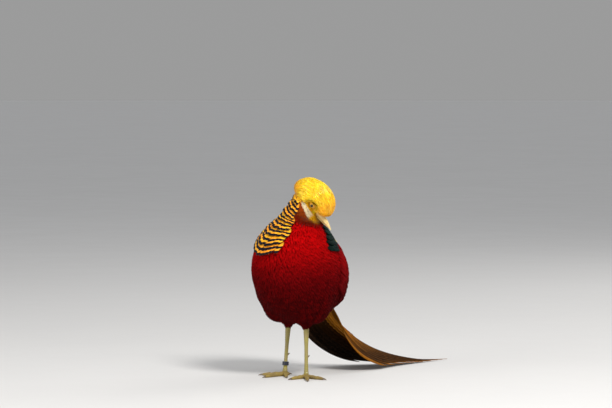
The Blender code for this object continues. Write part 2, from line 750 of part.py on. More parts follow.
def tail_place(t, v, height):
    """A point on the roof-shaped tail: t along its line from 0 to 1, v from -1 on its right to 1 on its left."""
    t, v = np.broadcast_arrays(np.asarray(t, float), np.asarray(v, float))
    stations = np.linspace(0, 1, len(TAIL_LINE))
    left, up = tail_frame()
    at = lambda values: np.stack([np.interp(t, stations, values[:, k]) for k in range(3)], -1)
    half = np.interp(t, stations, TAIL_HALF)
    middle, out, rise = at(TAIL_LINE), at(left), at(up)
    points = middle + (half * v)[..., None] * out
    points = points + (0.18 * half - 0.70 * half * np.abs(v) ** 1.4 + height)[..., None] * rise
    # what would sink into the floor is laid on it, one sheet over the other
    floor = 0.5 * (height + 1.1 * MM)
    points[..., 2] = np.maximum(points[..., 2], floor)
    return points


def build_tail(rng):
    """Five long feathers each side of the ridge, graded in length, over one thin layer."""
    mat = material("tail_brown", (0.10, 0.06, 0.03))
    t = np.linspace(0.0, 0.36, 5)[:, None] * np.ones((1, 7))
    v = np.linspace(-1, 1, 7)[None, :] * (0.92 - 0.35 * t)
    tail = sheet_solid("tail", tail_place(t, v, 0 * MM + 0 * t), tail_place(t, v, -3.0 * MM + 0 * t), mat)
    vanes = []
    ends = (1.0, 0.90, 0.77, 0.64, 0.52)
    for side in (-1, 1):
        for j, end in enumerate(ends):
            v = side * (0.10 + 0.195 * j)
            heights = (0.6 * MM, 1.3 * MM) if j % 2 else (-0.8 * MM, -0.2 * MM)
            vanes.append(vane(tail_place, (0.14, v * 0.9), (end, v * (0.9 - 0.05 * j)), 0.112,
                              heights, 0.9 * MM, (0.8, 1.0, 1.0, 0.85, 0.15)))
    boolean(tail, vanes, "UNION")
    cut_flat(tail, [0, 0, 0], [0, 0, -1])
    return tail


def build_coverts(rng):
    """Narrow red feathers each side of the tail's root."""
    mat = material("covert_red", (0.75, 0.10, 0.02))
    t = np.linspace(0.02, 0.20, 3)[:, None] * np.ones((1, 7))
    v = np.linspace(-0.85, 0.85, 7)[None, :] * np.ones((3, 1))
    base = sheet_solid("tail_coverts", tail_place(t, v, 4.9 * MM + 0 * t), tail_place(t, v, 3.1 * MM + 0 * t), mat)
    vanes = []
    for side in (-1, 1):
        for j in range(3):
            v = side * (0.16 + 0.28 * j)
            end = 0.40 + 0.06 * j + rng.uniform(-0.015, 0.015)
            vanes.append(vane(tail_place, (0.08, v), (end, v * 1.06), 0.085,
                              (4.7 * MM, 4.7 * MM), 0.9 * MM, (0.8, 1.0, 0.7, 0.1)))
    boolean(base, vanes, "UNION")
    return base


def tail_cutter():
    """The tail's own room at its root, for cutting the red feathers that lie on it."""
    t = np.linspace(0.0, 0.7, 12)[:, None] * np.ones((1, 13))
    v = np.linspace(-1.05, 1.05, 13)[None, :] * np.ones((12, 1))
    return sheet_solid("cut", tail_place(t, v, 2.8 * MM + 0 * t), tail_place(t, v, -3.5 * MM + 0 * t))


def thigh_line(side):
    """The thigh's middle line, from inside the trunk to above the hock."""
    hock = HOCK_LEFT if side > 0 else HOCK_RIGHT
    return np.array([MIDWAY + [side * 36 * MM, -6 * MM, 0.135], MIDWAY + [side * 33 * MM, 1 * MM, 0.112], hock + [0, -1 * MM, 12 * MM], hock])


def build_thigh(name, side):
    mat = material(name + "_red", (0.40, 0.03, 0.02))
    line = thigh_line(side)
    radii = np.array([28, 25, 12, 6.5]) * MM
    origin = line[1]
    obj = star_solid(name, origin, np.eye(3), lambda p: line_distance(p, line, radii), 14, 20, mat, far=0.12)
    cut_flat(obj, line[-1], [0, 0, -1])
    boolean(obj, [build_torso(GAP), wing_cutter(side)], "DIFFERENCE")
    return obj


def build_shank(name, side, mat):
    foot, hock = (FOOT_LEFT, HOCK_LEFT) if side > 0 else (FOOT_RIGHT, HOCK_RIGHT)
    top = hock + [0, 0, -0.3 * MM]
    ankle = foot + [0, 1 * MM, 7.3 * MM]
    line = [top, top + [0, 0.0, -5 * MM], top * 0.6 + ankle * 0.4, top * 0.25 + ankle * 0.75, ankle + [0, 0, 3 * MM], ankle]
    radii = np.array([5.2, 4.8, 3.5, 3.5, 4.0, 4.4]) * MM
    obj = tube(name, line, radii, 12, mat)
    cut_flat(obj, ankle, [0, 0, -1])
    cut_flat(obj, top, [0, 0, 1])
    spur = tube("spur", [hock * 0.42 + foot * 0.58 + [0, 2 * MM, 0], hock * 0.42 + foot * 0.58 + [0, 11 * MM, 2 * MM]],
                np.array([2.6, 0.5]) * MM, 8)
    boolean(obj, [spur], "UNION")
    return obj


def toe(start, yaw, length, claw=9 * MM):
    """One toe along the floor with a curved claw, as a flat-soled tube."""
    a = math.radians(yaw)
    way = np.array([math.sin(a), -math.cos(a), 0])
    s = np.array([0, 0.3, 0.42, 0.62, 0.72, 1.0])
    radii = np.array([3.9, 3.0, 3.3, 2.5, 2.9, 2.2]) * MM
    line = start + s[:, None] * length * way
    line[:, 2] = radii * 0.92
    line[0, 2] = 4.0 * MM
    tip = line[-1]
    hooks = [tip + 0.4 * claw * way + [0, 0, 0.5 * MM], tip + 0.8 * claw * way + [0, 0, -0.7 * MM],
             tip + claw * way + [0, 0, -1.6 * MM]]
    line = np.vstack([line, hooks])
    radii = np.concatenate([radii, np.array([1.5, 0.9, 0.35]) * MM])
    return tube("toe", line, radii, 6)


TOE_YAWS_RIGHT = ((-62, 34), (-14, 41), (38, 32), (178, 12))
TOE_YAWS_LEFT = ((82, 34), (36, 41), (-16, 30), (-150, 12))


def build_foot(name, side, mat):
    foot = FOOT_LEFT if side > 0 else FOOT_RIGHT
    yaws = TOE_YAWS_LEFT if side > 0 else TOE_YAWS_RIGHT
    pad = star_solid(name, foot + [0, 0, 3.5 * MM], np.eye(3),
                     lambda p: ball_distance(p, foot + [0, 0, 3.5 * MM], np.eye(3),
                                             np.array([6.5, 6.5, 5.0]) * MM, np.array([6.5, 6.5, 4.5]) * MM),
                     8, 12, mat, far=0.02)
    toes = [toe(foot + [0, 0, 0], yaw, length * MM) for yaw, length in yaws]
    boolean(pad, toes, "UNION")
    cut_flat(pad, [0, 0, 0], [0, 0, -1])
    cut_flat(pad, foot + [0, 0, 7.0 * MM], [0, 0, 1])
    return pad


def build_ring(mat):
    """The leg ring, a short band round the bird's right shank."""
    foot, hock = FOOT_RIGHT, HOCK_RIGHT
    top = hock + [0, 0, -0.3 * MM]
    ankle = foot + [0, 1 * MM, 7.3 * MM]
    s = (0.020 - ankle[2]) / (top[2] - ankle[2])
    centre = ankle + s * (top - ankle)
    axis = (top - ankle) / np.linalg.norm(top - ankle)
    inner, outer, half = 4.15 * MM, 5.2 * MM, 3.0 * MM
    left = np.cross(axis, [0, 1.0, 0])
    left /= np.linalg.norm(left)
    fore = np.cross(left, axis)
    turns = 20
    a = 2 * math.pi * np.arange(turns) / turns
    ring = np.cos(a)[:, None] * left + np.sin(a)[:, None] * fore
    rows = [centre + r * ring + h * axis for r, h in ((inner, -half), (outer, -half), (outer, half), (inner, half))]
    rows = np.array(rows)
    faces = [(i * turns + j, i * turns + (j + 1) % turns, ((i + 1) % 4) * turns + (j + 1) % turns,
              ((i + 1) % 4) * turns + j) for i in range(4) for j in range(turns)]
    obj = mesh_object("leg_ring", rows.reshape(-1, 3), faces, mat)
    face_out(obj)
    return obj


def main():
    for obj in list(bpy.data.objects):
        bpy.data.objects.remove(obj)
    rng = np.random.default_rng(SEED)
    build_torso()
    build_neck()
    head = build_head()
    build_face(head)
    crest = build_crest(rng)
    windows = [build_window(side) for side in (1, -1)] + [build_lid_cutter(side) for side in (1, -1)]
    windows += [build_eye("cut", side, None, 1.2 * MM) for side in (1, -1)]
    boolean(crest, [build_head(1.3 * MM, 16, 22), build_bill("cut", True, None, GAP)] + windows, "DIFFERENCE")
    cape = build_cape(rng)
    around_eyes = [build_eye("cut", side, None, 4 * MM) for side in (1, -1)]
    boolean(cape, [crest_cutter(), build_neck(GAP)] + around_eyes, "DIFFERENCE")
    for name, side in (("wing_left", 1), ("wing_right", -1)):
        boolean(build_wing(name, side, rng), [cape_cutter()], "DIFFERENCE")
    boolean(build_mantle(rng), [cape_cutter(), build_neck(GAP)], "DIFFERENCE")
    build_rump(rng)
    wings = [wing_cutter(1), wing_cutter(-1)]
    boolean(build_tail(rng), [build_torso(GAP), rump_cutter()] + wings, "DIFFERENCE")
    wings = [wing_cutter(1), wing_cutter(-1)]
    boolean(build_coverts(rng), [build_torso(GAP), rump_cutter(), tail_cutter()] + wings, "DIFFERENCE")
    horn = material("leg_horn", (0.62, 0.52, 0.22), 0.5)
    for name, side in (("left", 1), ("right", -1)):
        build_thigh("thigh_" + name, side)
        build_shank("shank_" + name, side, horn)
        build_foot("foot_" + name, side, horn)
    build_ring(material("ring_blue", (0.01, 0.015, 0.05), 0.3))


main()
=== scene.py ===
"""A golden pheasant cock, life-size, standing with its head turned over the left shoulder.

Metres, +Z up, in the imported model's own frame. The breast faces -Y, the bird's left side is +X and
the tail runs towards +Y. Every shape is worked out with numpy from the same sizes as the solids.
"""

from __future__ import annotations

import logging
import math
from dataclasses import dataclass, field
from enum import Enum, IntEnum
from typing import Callable

import bpy
import numpy as np
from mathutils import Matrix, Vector

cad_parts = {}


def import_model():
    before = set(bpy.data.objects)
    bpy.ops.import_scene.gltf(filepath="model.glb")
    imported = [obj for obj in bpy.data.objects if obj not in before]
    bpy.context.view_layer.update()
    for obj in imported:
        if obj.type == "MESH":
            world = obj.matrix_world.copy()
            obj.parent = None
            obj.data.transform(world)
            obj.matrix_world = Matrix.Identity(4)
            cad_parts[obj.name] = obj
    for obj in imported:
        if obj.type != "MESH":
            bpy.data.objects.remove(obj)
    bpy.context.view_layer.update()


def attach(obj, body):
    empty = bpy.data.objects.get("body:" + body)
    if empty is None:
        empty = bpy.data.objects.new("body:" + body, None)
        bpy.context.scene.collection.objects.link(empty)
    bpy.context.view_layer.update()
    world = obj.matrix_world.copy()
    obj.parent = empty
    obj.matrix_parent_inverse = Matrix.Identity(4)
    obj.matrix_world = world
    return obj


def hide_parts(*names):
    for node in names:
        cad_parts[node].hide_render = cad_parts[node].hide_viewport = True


LOG = logging.getLogger("pheasant")
MM = 0.001
Array = np.ndarray
Random = np.random.Generator
Piece = bpy.types.Object
Material = bpy.types.Material
Colour = tuple[float, float, float]
Inputs = dict[str | int, object]
Field = Callable[[Array], Array]
Place = Callable[[Array, Array, Array], Array]

MIDWAY = np.array([-0.023, 0.007, 0.0])
DOWN_NECK = np.array([-0.18, -0.02, -0.983])


class Side(IntEnum):
    """The bird's own two sides; left is towards +X."""

    LEFT = 1
    RIGHT = -1

    @property
    def label(self) -> str:
        """The side as names carry it."""
        return self.name.lower()


def unit(vectors: Array) -> Array:
    """Vectors divided by their length."""
    return vectors / np.maximum(np.linalg.norm(vectors, axis=-1, keepdims=True), 1e-12)


def smooth(values: Array, low: float, high: float) -> Array:
    """A soft step from 0 at low to 1 at high, three t squared less two t cubed.

    Args:
        values: numbers to step.
        low: where the step starts.
        high: where it ends.

    Returns:
        The steps, from 0 to 1.
    """
    t = np.clip((np.asarray(values, float) - low) / (high - low), 0, 1)
    return t * t * (3 - 2 * t)


def pairs(a: Array | float, b: Array | float) -> Array:
    """Two values side by side in rows."""
    return np.stack(np.broadcast_arrays(a, b), -1)


def circle(count: int) -> Array:
    """Angles spaced evenly round a full turn from 0."""
    return np.linspace(0, 2 * math.pi, count, endpoint=False)


def over_floor(points: Array, gap: float = 0.05 * MM) -> Array:
    """The points, none lower than a gap over the floor."""
    return np.concatenate([points[..., :2], np.maximum(points[..., 2:], gap)], -1)


def own_axes(yaw: float, pitch: float, roll: float = 0.0) -> Array:
    """Rows ahead, left and up of a body that is turned in degrees from facing -Y.

    Args:
        yaw: turn towards +X.
        pitch: rise of the front.
        roll: lean towards its right.

    Returns:
        A 3 by 3 array of unit rows.
    """
    y, p, r = np.radians([yaw, pitch, roll])
    heading, up = np.array([math.sin(y), -math.cos(y), 0.0]), np.array([0.0, 0.0, 1.0])
    ahead = math.cos(p) * heading + math.sin(p) * up
    crown = math.cos(p) * up - math.sin(p) * heading
    left = np.cross(crown, ahead)
    c, s = math.cos(r), math.sin(r)
    return np.array([ahead, c * left + s * crown, c * crown - s * left])


@dataclass(frozen=True)
class Egg:
    """A solid oval whose half sizes in millimetres differ on the two sides of its centre."""

    centre: Array
    axes: Array
    plus: tuple[float, float, float]
    minus: tuple[float, float, float]

    def distance(self, points: Array) -> Array:
        """Distance from the oval along the line to its centre: length times one less 1/q.

        Args:
            points: places.

        Returns:
            Distances, negative inside.
        """
        local = (points - self.centre) @ self.axes.T
        size = np.where(local > 0, np.array(self.plus) * MM, np.array(self.minus) * MM)
        q = np.sqrt(((local / size) ** 2).sum(-1)) + 1e-9
        return np.linalg.norm(local, axis=-1) * (1 - 1 / q)


@dataclass(frozen=True)
class Chain:
    """A row of balls joined by cones, in millimetres from the point midway between the feet."""

    line: Array
    radii: Array

    def distance(self, points: Array) -> Array:
        """Distance to the nearest cone of the chain.

        Args:
            points: places.

        Returns:
            Distances, negative inside.
        """
        best = np.full(points.shape[:-1], 1e9)
        for a, b, ra, rb in zip(self.line[:-1], self.line[1:], self.radii[:-1], self.radii[1:]):
            along = b - a
            t = np.clip(((points - a) @ along) / (along @ along), 0, 1)
            away = np.linalg.norm(points - a - t[..., None] * along, axis=-1)
            best = np.minimum(best, away - (ra + (rb - ra) * t))
        return best


def blended(a: Array, b: Array, width: float) -> Array:
    """The lesser of two distances, rounded where they are nearly equal."""
    h = np.maximum(width - np.abs(a - b), 0) / width
    return np.minimum(a, b) - h * h * width / 4


def slope(distance: Field, points: Array, step: float = 0.2 * MM) -> Array:
    """The gradient of a distance by central differences."""
    sides = [distance(points + step * e) - distance(points - step * e) for e in np.eye(3)]
    return np.stack(sides, -1) / (2 * step)


def drape(points: Array, height: Array | float, distance: Field, rounds: int = 4) -> Array:
    """Moves points along a distance's slope until they stand at a height over its surface.

    Args:
        points: where they start.
        height: the height wanted, one or one each.
        distance: the surface's field.
        rounds: how many moves.

    Returns:
        The moved points.
    """
    points = np.array(points, float)
    for _ in range(rounds):
        way = slope(distance, points)
        size = np.maximum((way ** 2).sum(-1), 0.05)
        points = points - ((distance(points) - height) / size)[..., None] * way
    return points


@dataclass(frozen=True)
class Bird:
    """The bird's flesh as ovals and chains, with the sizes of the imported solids."""

    trunk: Egg = Egg(MIDWAY + np.array([0.000, 0.008, 0.170]), own_axes(0, 40), (89, 72, 76), (91, 72, 80))
    head_centre: Array = field(default_factory=lambda: MIDWAY + np.array([0.0315, -0.010, 0.2775]))
    head: Array = field(default_factory=lambda: own_axes(103, -40, 12))
    neck: Chain = Chain(
        MIDWAY + MM * np.array([[11, -14, 205], [14, -12, 230], [16, -11, 252], [18, -12, 266],
                                [21, -13, 276]]),
        MM * np.array([45, 38, 30.5, 23, 17.5]),
    )
    hocks: tuple[Array, Array] = (np.array([-0.005, 0.009, 0.080]), np.array([-0.048, 0.023, 0.080]))
    feet: tuple[Array, Array] = (np.array([0.0, 0.0, 0.0]), np.array([-0.049, 0.014, 0.0]))

    def head_point(self, ahead: Array, left: Array, up: Array) -> Array:
        """A point given in the head's own millimetres from the point between the eyes."""
        return self.head_centre + MM * (np.stack(np.broadcast_arrays(ahead, left, up), -1) @ self.head)

    def head_local(self, points: Array) -> Array:
        """Points in the head's own millimetres: ahead, left and up."""
        return ((points - self.head_centre) @ self.head.T) / MM

    def skull(self, points: Array) -> Array:
        """Distance to the skull's oval."""
        egg = Egg(self.head_centre - 4 * MM * self.head[0], self.head, (24, 13.5, 21), (21, 13.5, 14))
        return egg.distance(points)

    def torso(self, points: Array) -> Array:
        """Distance to the trunk and the neck's foot."""
        stub = Chain(self.neck.line[:3], self.neck.radii[:3])
        return blended(self.trunk.distance(points), stub.distance(points), 24 * MM)

    def skin(self, points: Array) -> Array:
        """Distance to trunk, neck and skull in one."""
        body = blended(self.trunk.distance(points), self.neck.distance(points), 24 * MM)
        return blended(body, self.skull(points), 10 * MM)

    def thigh(self, side: Side) -> Chain:
        """One thigh, from inside the trunk to the hock.

        Args:
            side: the bird's side.

        Returns:
            Its chain of four balls.
        """
        hock = self.hocks[0] if side > 0 else self.hocks[1]
        line = [MIDWAY + [side * 0.036, -0.006, 0.135], MIDWAY + [side * 0.033, 0.001, 0.112],
                hock + [0, -0.001, 0.012], hock]
        return Chain(np.array(line), MM * np.array([28, 25, 12, 6.5]))

    def flesh(self, points: Array) -> Array:
        """Distance to the whole bird, thighs included."""
        thighs = np.minimum(*(self.thigh(side).distance(points) for side in Side))
        return blended(self.skin(points), thighs, 12 * MM)

    def coat_depth(self, points: Array) -> Array:
        """How deep the skin lies under the outline: 0.7 mm on the face, 3 mm on the body."""
        away = np.linalg.norm(points - self.head_centre, axis=-1)
        return 0.7 * MM + 2.3 * MM * smooth(away, 0.024, 0.050)

    def trunk_angles(self, points: Array) -> tuple[Array, Array]:
        """Degrees along from the trunk's middle to the breast, and degrees round from the back.

        Args:
            points: n by 3 places.

        Returns:
            Degrees along and degrees round.
        """
        local = (points - self.trunk.centre) @ self.trunk.axes.T
        side = np.degrees(np.abs(np.arctan2(local[:, 1], local[:, 2])))
        return np.degrees(np.arcsin(np.clip(local[:, 0] / np.linalg.norm(local, axis=1), -1, 1))), side

    def trunk_point(self, along: Array, side: Array, height: Array | float = 0.0) -> Array:
        """A point over the back, by degrees along it and round it.

        Args:
            along: degrees from -90 at the rear to 90 at the breast.
            side: degrees from the back to the left.
            height: height over the skin.

        Returns:
            Positions.
        """
        along, side = np.broadcast_arrays(np.asarray(along, float), np.asarray(side, float))
        a, s = np.radians(along), np.radians(side)
        long = np.where(np.sin(a) > 0, self.trunk.plus[0], self.trunk.minus[0])
        deep = np.where(np.cos(s) > 0, self.trunk.plus[2], self.trunk.minus[2])
        local = MM * np.stack([long * np.sin(a), self.trunk.plus[1] * np.cos(a) * np.sin(s),
                               deep * np.cos(a) * np.cos(s)], -1)
        seeds = self.trunk.centre + local @ self.trunk.axes
        return drape(seeds + 4 * MM * unit(slope(self.trunk.distance, seeds)), height, self.torso)

    def eye_centre(self, side: Side) -> Array:
        """The eye's middle, with about a quarter of the ball standing out of the face.

        Args:
            side: the bird's side.

        Returns:
            The ball's centre.
        """
        start = self.head_point(5.0, 0, 8.5)
        way = unit(side * self.head[1] + 0.12 * self.head[0])
        steps = np.linspace(0, 0.04, 400)
        places, nape = start + steps[:, None] * way, Chain(self.neck.line[2:], self.neck.radii[2:])
        inside = blended(self.skull(places), nape.distance(places), 10 * MM) < 0
        return start + (steps[inside].max() - 0.45 * 4.3 * MM) * way


BIRD = Bird()


# Meshes from arrays


def put_mesh(name: str, points: Array, polygons: list[Array], finish: Material,
             layers: dict[str, Array] | None = None, colours: dict[str, Array] | None = None,
             smooth_shade: bool = True) -> Piece:
    """Makes an object from a point array and polygons, with UV maps and colours given for each point.

    Args:
        name: the object's name.
        points: n by 3 positions.
        polygons: arrays of rows of point numbers, one array for each count of corners.
        finish: the material.
        layers: UV maps, each n by 2.
        colours: point colours, each n by 3.
        smooth_shade: whether faces are shaded smooth.

    Returns:
        The linked object.
    """
    mesh = bpy.data.meshes.new(name)
    loops = np.concatenate([p.reshape(-1) for p in polygons]).astype(np.int32)
    totals = np.concatenate([np.full(len(p), p.shape[1]) for p in polygons])
    starts = (np.cumsum(totals) - totals).astype(np.int32)
    mesh.vertices.add(len(points))
    mesh.vertices.foreach_set("co", np.ascontiguousarray(points, np.float32).reshape(-1))
    mesh.loops.add(len(loops))
    mesh.loops.foreach_set("vertex_index", loops)
    mesh.polygons.add(len(starts))
    mesh.polygons.foreach_set("loop_start", starts)
    mesh.update(calc_edges=True)
    mesh.polygons.foreach_set("use_smooth", np.full(len(starts), smooth_shade))
    for layer, values in (layers or {}).items():
        uv = mesh.uv_layers.new(name=layer)
        uv.data.foreach_set("uv", values[loops].astype(np.float32).reshape(-1))
    for layer, values in (colours or {}).items():
        attribute = mesh.color_attributes.new(name=layer, type="FLOAT_COLOR", domain="POINT")
        full = np.concatenate([values, np.ones((len(values), 1))], 1).astype(np.float32)
        attribute.data.foreach_set("color", full.reshape(-1))
    mesh.materials.append(finish)
    obj = bpy.data.objects.new(name, mesh)
    bpy.context.scene.collection.objects.link(obj)
    return obj


def closed_volume(points: Array, polygons: list[Array]) -> float:
    """Six times the signed volume inside closed polygons, each fanned from its first corner.

    Args:
        points: n by 3 positions.
        polygons: arrays of rows of point numbers.

    Returns:
        The volume, negative when the polygons face inwards.
    """
    total = 0.0
    for rows in polygons:
        for k in range(1, rows.shape[1] - 1):
            a, b, c = points[rows[:, 0]], points[rows[:, k]], points[rows[:, k + 1]]
            total += float(np.einsum("ij,ij->i", a, np.cross(b, c)).sum())
    return total


def outward(points: Array, polygons: list[Array], sample: list[Array] | None = None) -> list[Array]:
    """The polygons, turned round if the volume inside them, or inside a sample of them, is negative.

    Args:
        points: n by 3 positions.
        polygons: arrays of rows of point numbers.
        sample: some of the polygons, closed in themselves.

    Returns:
        The polygons facing outwards.
    """
    return [p[:, ::-1] for p in polygons] if closed_volume(points, sample or polygons) < 0 else polygons


def grid_faces(rows: int, turns: int, wrapped: bool = True) -> Array:
    """Quads over a grid of rows by turns, joined round in the second way when wrapped.

    Args:
        rows: points in the first way.
        turns: points in the second way.
        wrapped: whether the second way closes.

    Returns:
        Rows of four point numbers.
    """
    i, j = np.meshgrid(np.arange(rows - 1), np.arange(turns if wrapped else turns - 1), indexing="ij")
    k = (j + 1) % turns
    quads = [i * turns + j, i * turns + k, (i + 1) * turns + k, (i + 1) * turns + j]
    return np.stack(quads, -1).reshape(-1, 4)


def loft(name: str, sections: Array, finish: Material, layers: dict[str, Array] | None = None,
         ring: bool = False) -> Piece:
    """A closed body through rings of points, its two ends capped, or joined to each other in a ring.

    Args:
        name: the object's name.
        sections: rows by turns by 3 positions.
        finish: the material.
        layers: UV maps, each a row for each point.
        ring: whether the last section joins the first.

    Returns:
        The linked object.
    """
    rows, turns = sections.shape[:2]
    cap = np.arange(turns)[None]
    faces = [grid_faces(rows, turns), cap[:, ::-1], (rows - 1) * turns + cap]
    if ring:
        faces = [grid_faces(rows + 1, turns) % (rows * turns)]
    points = sections.reshape(-1, 3)
    return put_mesh(name, points, outward(points, faces), finish, layers)


def surface_net(distance: Field, low: Array, high: Array, step: float) -> tuple[Array, Array]:
    """A closed mesh round where a distance is negative.

    There is one point in each crossed cell and one quad for each crossed edge.

    Args:
        distance: the field.
        low: the box's lowest corner.
        high: its highest corner.
        step: the cell's side.

    Returns:
        Points, draped onto the surface, and quads.
    """
    axes = [np.arange(l, h, step) for l, h in zip(low, high)]
    grid = np.stack(np.meshgrid(*axes, indexing="ij"), -1)
    inside = np.concatenate([distance(part) for part in np.array_split(grid, 8)]) < 0
    corners = sum(inside[i:i - 1 or None, j:j - 1 or None, k:k - 1 or None].astype(np.int8)
                  for i in (0, 1) for j in (0, 1) for k in (0, 1))
    corners = corners[:len(axes[0]) - 1, :len(axes[1]) - 1, :len(axes[2]) - 1]
    crossed = (corners > 0) & (corners < 8)
    number = np.full(crossed.shape, -1)
    number[crossed] = np.arange(crossed.sum())
    points = grid[:-1, :-1, :-1][crossed] + step / 2
    quads = []
    for axis in range(3):
        other = [a for a in range(3) if a != axis]
        a = np.take(inside, range(inside.shape[axis] - 1), axis)
        b = np.take(inside, range(1, inside.shape[axis]), axis)
        where = np.argwhere(a != b)
        where = where[(where[:, other] > 0).all(1) & (where[:, other] < np.array(number.shape)[other]).all(1)]
        forward = a[tuple(where.T)]
        ring = []
        for du, dv in ((0, 0), (-1, 0), (-1, -1), (0, -1)):
            cell = where.copy()
            cell[:, other[0]] += du
            cell[:, other[1]] += dv
            ring.append(number[tuple(cell.T)])
        ring = np.stack(ring, 1)
        turned = forward if axis != 1 else ~forward
        ring[~turned] = ring[~turned][:, ::-1]
        quads.append(ring)
    points = drape(points, 0.0, distance, 4)
    quads = np.concatenate(quads)
    return points, outward(points, [quads])[0]


def scattered(points: Array, triangles: Array, gap: Field, tries: int,
              rng: Random) -> Array:
    """Points spread over a mesh so that each keeps a gap from the others, found by trial in a cell table.

    Args:
        points: the mesh's points.
        triangles: its triangles.
        gap: the least distance wanted at each place.
        tries: how many random places are tried.
        rng: the seeded source.

    Returns:
        The places kept.
    """
    a, b, c = (points[triangles[:, k]] for k in range(3))
    area = np.linalg.norm(np.cross(b - a, c - a), axis=1)
    pick = rng.choice(len(area), tries, p=area / area.sum())
    u, v = rng.random((2, tries))
    over = u + v > 1
    u[over], v[over] = 1 - u[over], 1 - v[over]
    places = a[pick] + u[:, None] * (b - a)[pick] + v[:, None] * (c - a)[pick]
    gaps = gap(places)
    cell = float(gaps[gaps > 0].max())
    keys = np.floor(places / cell).astype(int).tolist()
    table: dict[tuple[int, int, int], list[int]] = {}
    near = [(i, j, k) for i in (-1, 0, 1) for j in (-1, 0, 1) for k in (-1, 0, 1)]
    rows, limits, kept = places.tolist(), (gaps ** 2).tolist(), []
    for n, (x, y, z) in enumerate(keys):
        px, py, pz = rows[n]
        others = (rows[m] for i, j, k in near for m in table.get((x + i, y + j, z + k), ()))
        if limits[n] > 0 and not any((px - qx) ** 2 + (py - qy) ** 2 + (pz - qz) ** 2 < limits[n]
                                     for qx, qy, qz in others):
            table.setdefault((x, y, z), []).append(n)
            kept.append(n)
    return places[kept]


# Feathers


@dataclass(frozen=True)
class Vane:
    """One feather's outline as a closed thin lens on a grid.

    The grid's rows run from root to tip and its columns across. The middle stands over the rim by
    the thickness and the sag, so that top and underside close at the rim.
    """

    rows: int = 5
    cols: int = 5
    outline: tuple[float, ...] = (0.35, 0.8, 1.0, 0.85, 0.25)
    ragged: float = 0.10
    thick: float = 0.35 * MM
    sag: float = 0.0

    def grid(self) -> tuple[Array, Array, Array]:
        """Along from 0 to 1, across from -1 to 1 in half widths, and the rise of each point.

        Returns:
            Three arrays of rows by columns.
        """
        s = np.linspace(0, 1, self.rows)[:, None] * np.ones((1, self.cols))
        width = np.interp(s, np.linspace(0, 1, len(self.outline)), self.outline)
        side = np.linspace(-1, 1, self.cols)[None, :] * np.ones((self.rows, 1))
        notch = np.where(np.arange(self.cols) % 2 == 0, 1.0, 0.25) * (1 + np.abs(side[0]))
        s = s - self.ragged * notch[None, :] * smooth(s, 0.55, 1.0)
        rise = self.thick * np.sqrt(np.clip(1 - side ** 2, 0, 1)) - self.sag * side ** 2
        return s, side * width, rise

    def faces(self) -> list[Array]:
        """Quads over the top, quads across the underside, and the two end caps.

        Returns:
            Quads, and two caps with a corner for each column.
        """
        r, c = self.rows, self.cols
        i = np.arange(r - 1)
        under = np.stack([i * c, (i + 1) * c, (i + 1) * c + c - 1, i * c + c - 1], -1)
        caps = np.array([np.arange(c)[::-1], (r - 1) * c + np.arange(c)])
        return [np.concatenate([grid_faces(r, c, False), under]), caps]


def feathers(name: str, shape: Vane, points: Array, finish: Material, tint: Array,
             patch: Array) -> Piece:
    """Joins many feathers of one shape into a mesh.

    Args:
        name: the object's name.
        shape: the vane that all of them have.
        points: n by rows by columns by 3 positions.
        finish: the material.
        tint: n by 3 base colours, or n by rows by 3.
        patch: n by 4, the corner and the size of each one's patch in the bake map.

    Returns:
        The object, with UV maps Vane and OFBake and the point colour Coat.
    """
    count, per = len(points), shape.rows * shape.cols
    flat = points.reshape(-1, 3)
    shift = (np.arange(count) * per)[:, None, None]
    polygons = [(f[None] + shift).reshape(-1, f.shape[1]) for f in shape.faces()]
    some = [p[:len(p) // count * min(count, 40)] for p in polygons]
    polygons = outward(flat, polygons, some)
    s, w, _ = shape.grid()
    v = np.linspace(0, 1, shape.rows)[:, None] * np.ones((1, shape.cols))
    u = np.linspace(0, 1, shape.cols)[None, :] * np.ones((shape.rows, 1))
    own = np.stack([u, v], -1).reshape(1, per, 2)
    bake = patch[:, None, :2] + own * patch[:, None, 2:]
    vane = np.repeat(np.stack([0.5 + w / 2, s], -1).reshape(1, per, 2), count, 0)
    return put_mesh(name, flat, polygons, finish,
                    {"OFBake": bake.reshape(-1, 2), "Vane": vane.reshape(-1, 2)},
                    {"Coat": np.repeat(tint.reshape(-1, 3), per * count // (tint.size // 3), 0)})


def laid(shape: Vane, roots: Array, ways: Array, length: Array, width: Array, low: Array, high: Array,
         distance: Field, bend: Array | float = 0.0) -> Array:
    """Feathers laid on a surface, each straight along its way and then draped.

    A point is root + way * length * s + side * width * w, moved to the height
    low + (high - low) * s ** 1.4 + rise over the surface.

    Args:
        shape: the vane.
        roots: n by 3 root places.
        ways: n by 3 directions, made tangent here.
        length: each one's length.
        width: each one's half width.
        low: height of each root.
        high: height of each tip.
        distance: the surface's field.
        bend: sideways bend in half widths at the tip.

    Returns:
        n by rows by columns by 3 positions.
    """
    s, w, rise = shape.grid()
    normal = unit(slope(distance, roots))
    way = unit(ways - (ways * normal).sum(-1, keepdims=True) * normal)
    side = np.cross(way, normal)
    s, w, rise = s[None], w[None], rise[None]
    length, width, low, high = (np.asarray(x, float)[..., None, None] * np.ones((len(roots), 1, 1))
                                for x in (length, width, low, high))
    bend = np.asarray(bend, float)[..., None, None] * np.ones((len(roots), 1, 1))
    flat = (roots[:, None, None] + way[:, None, None] * (length * s)[..., None]
            + side[:, None, None] * (width * (w + bend * s ** 2))[..., None])
    height = low + (high - low) * np.clip(s, 0, 1) ** 1.4 + rise
    return drape(flat, height, distance, 3)


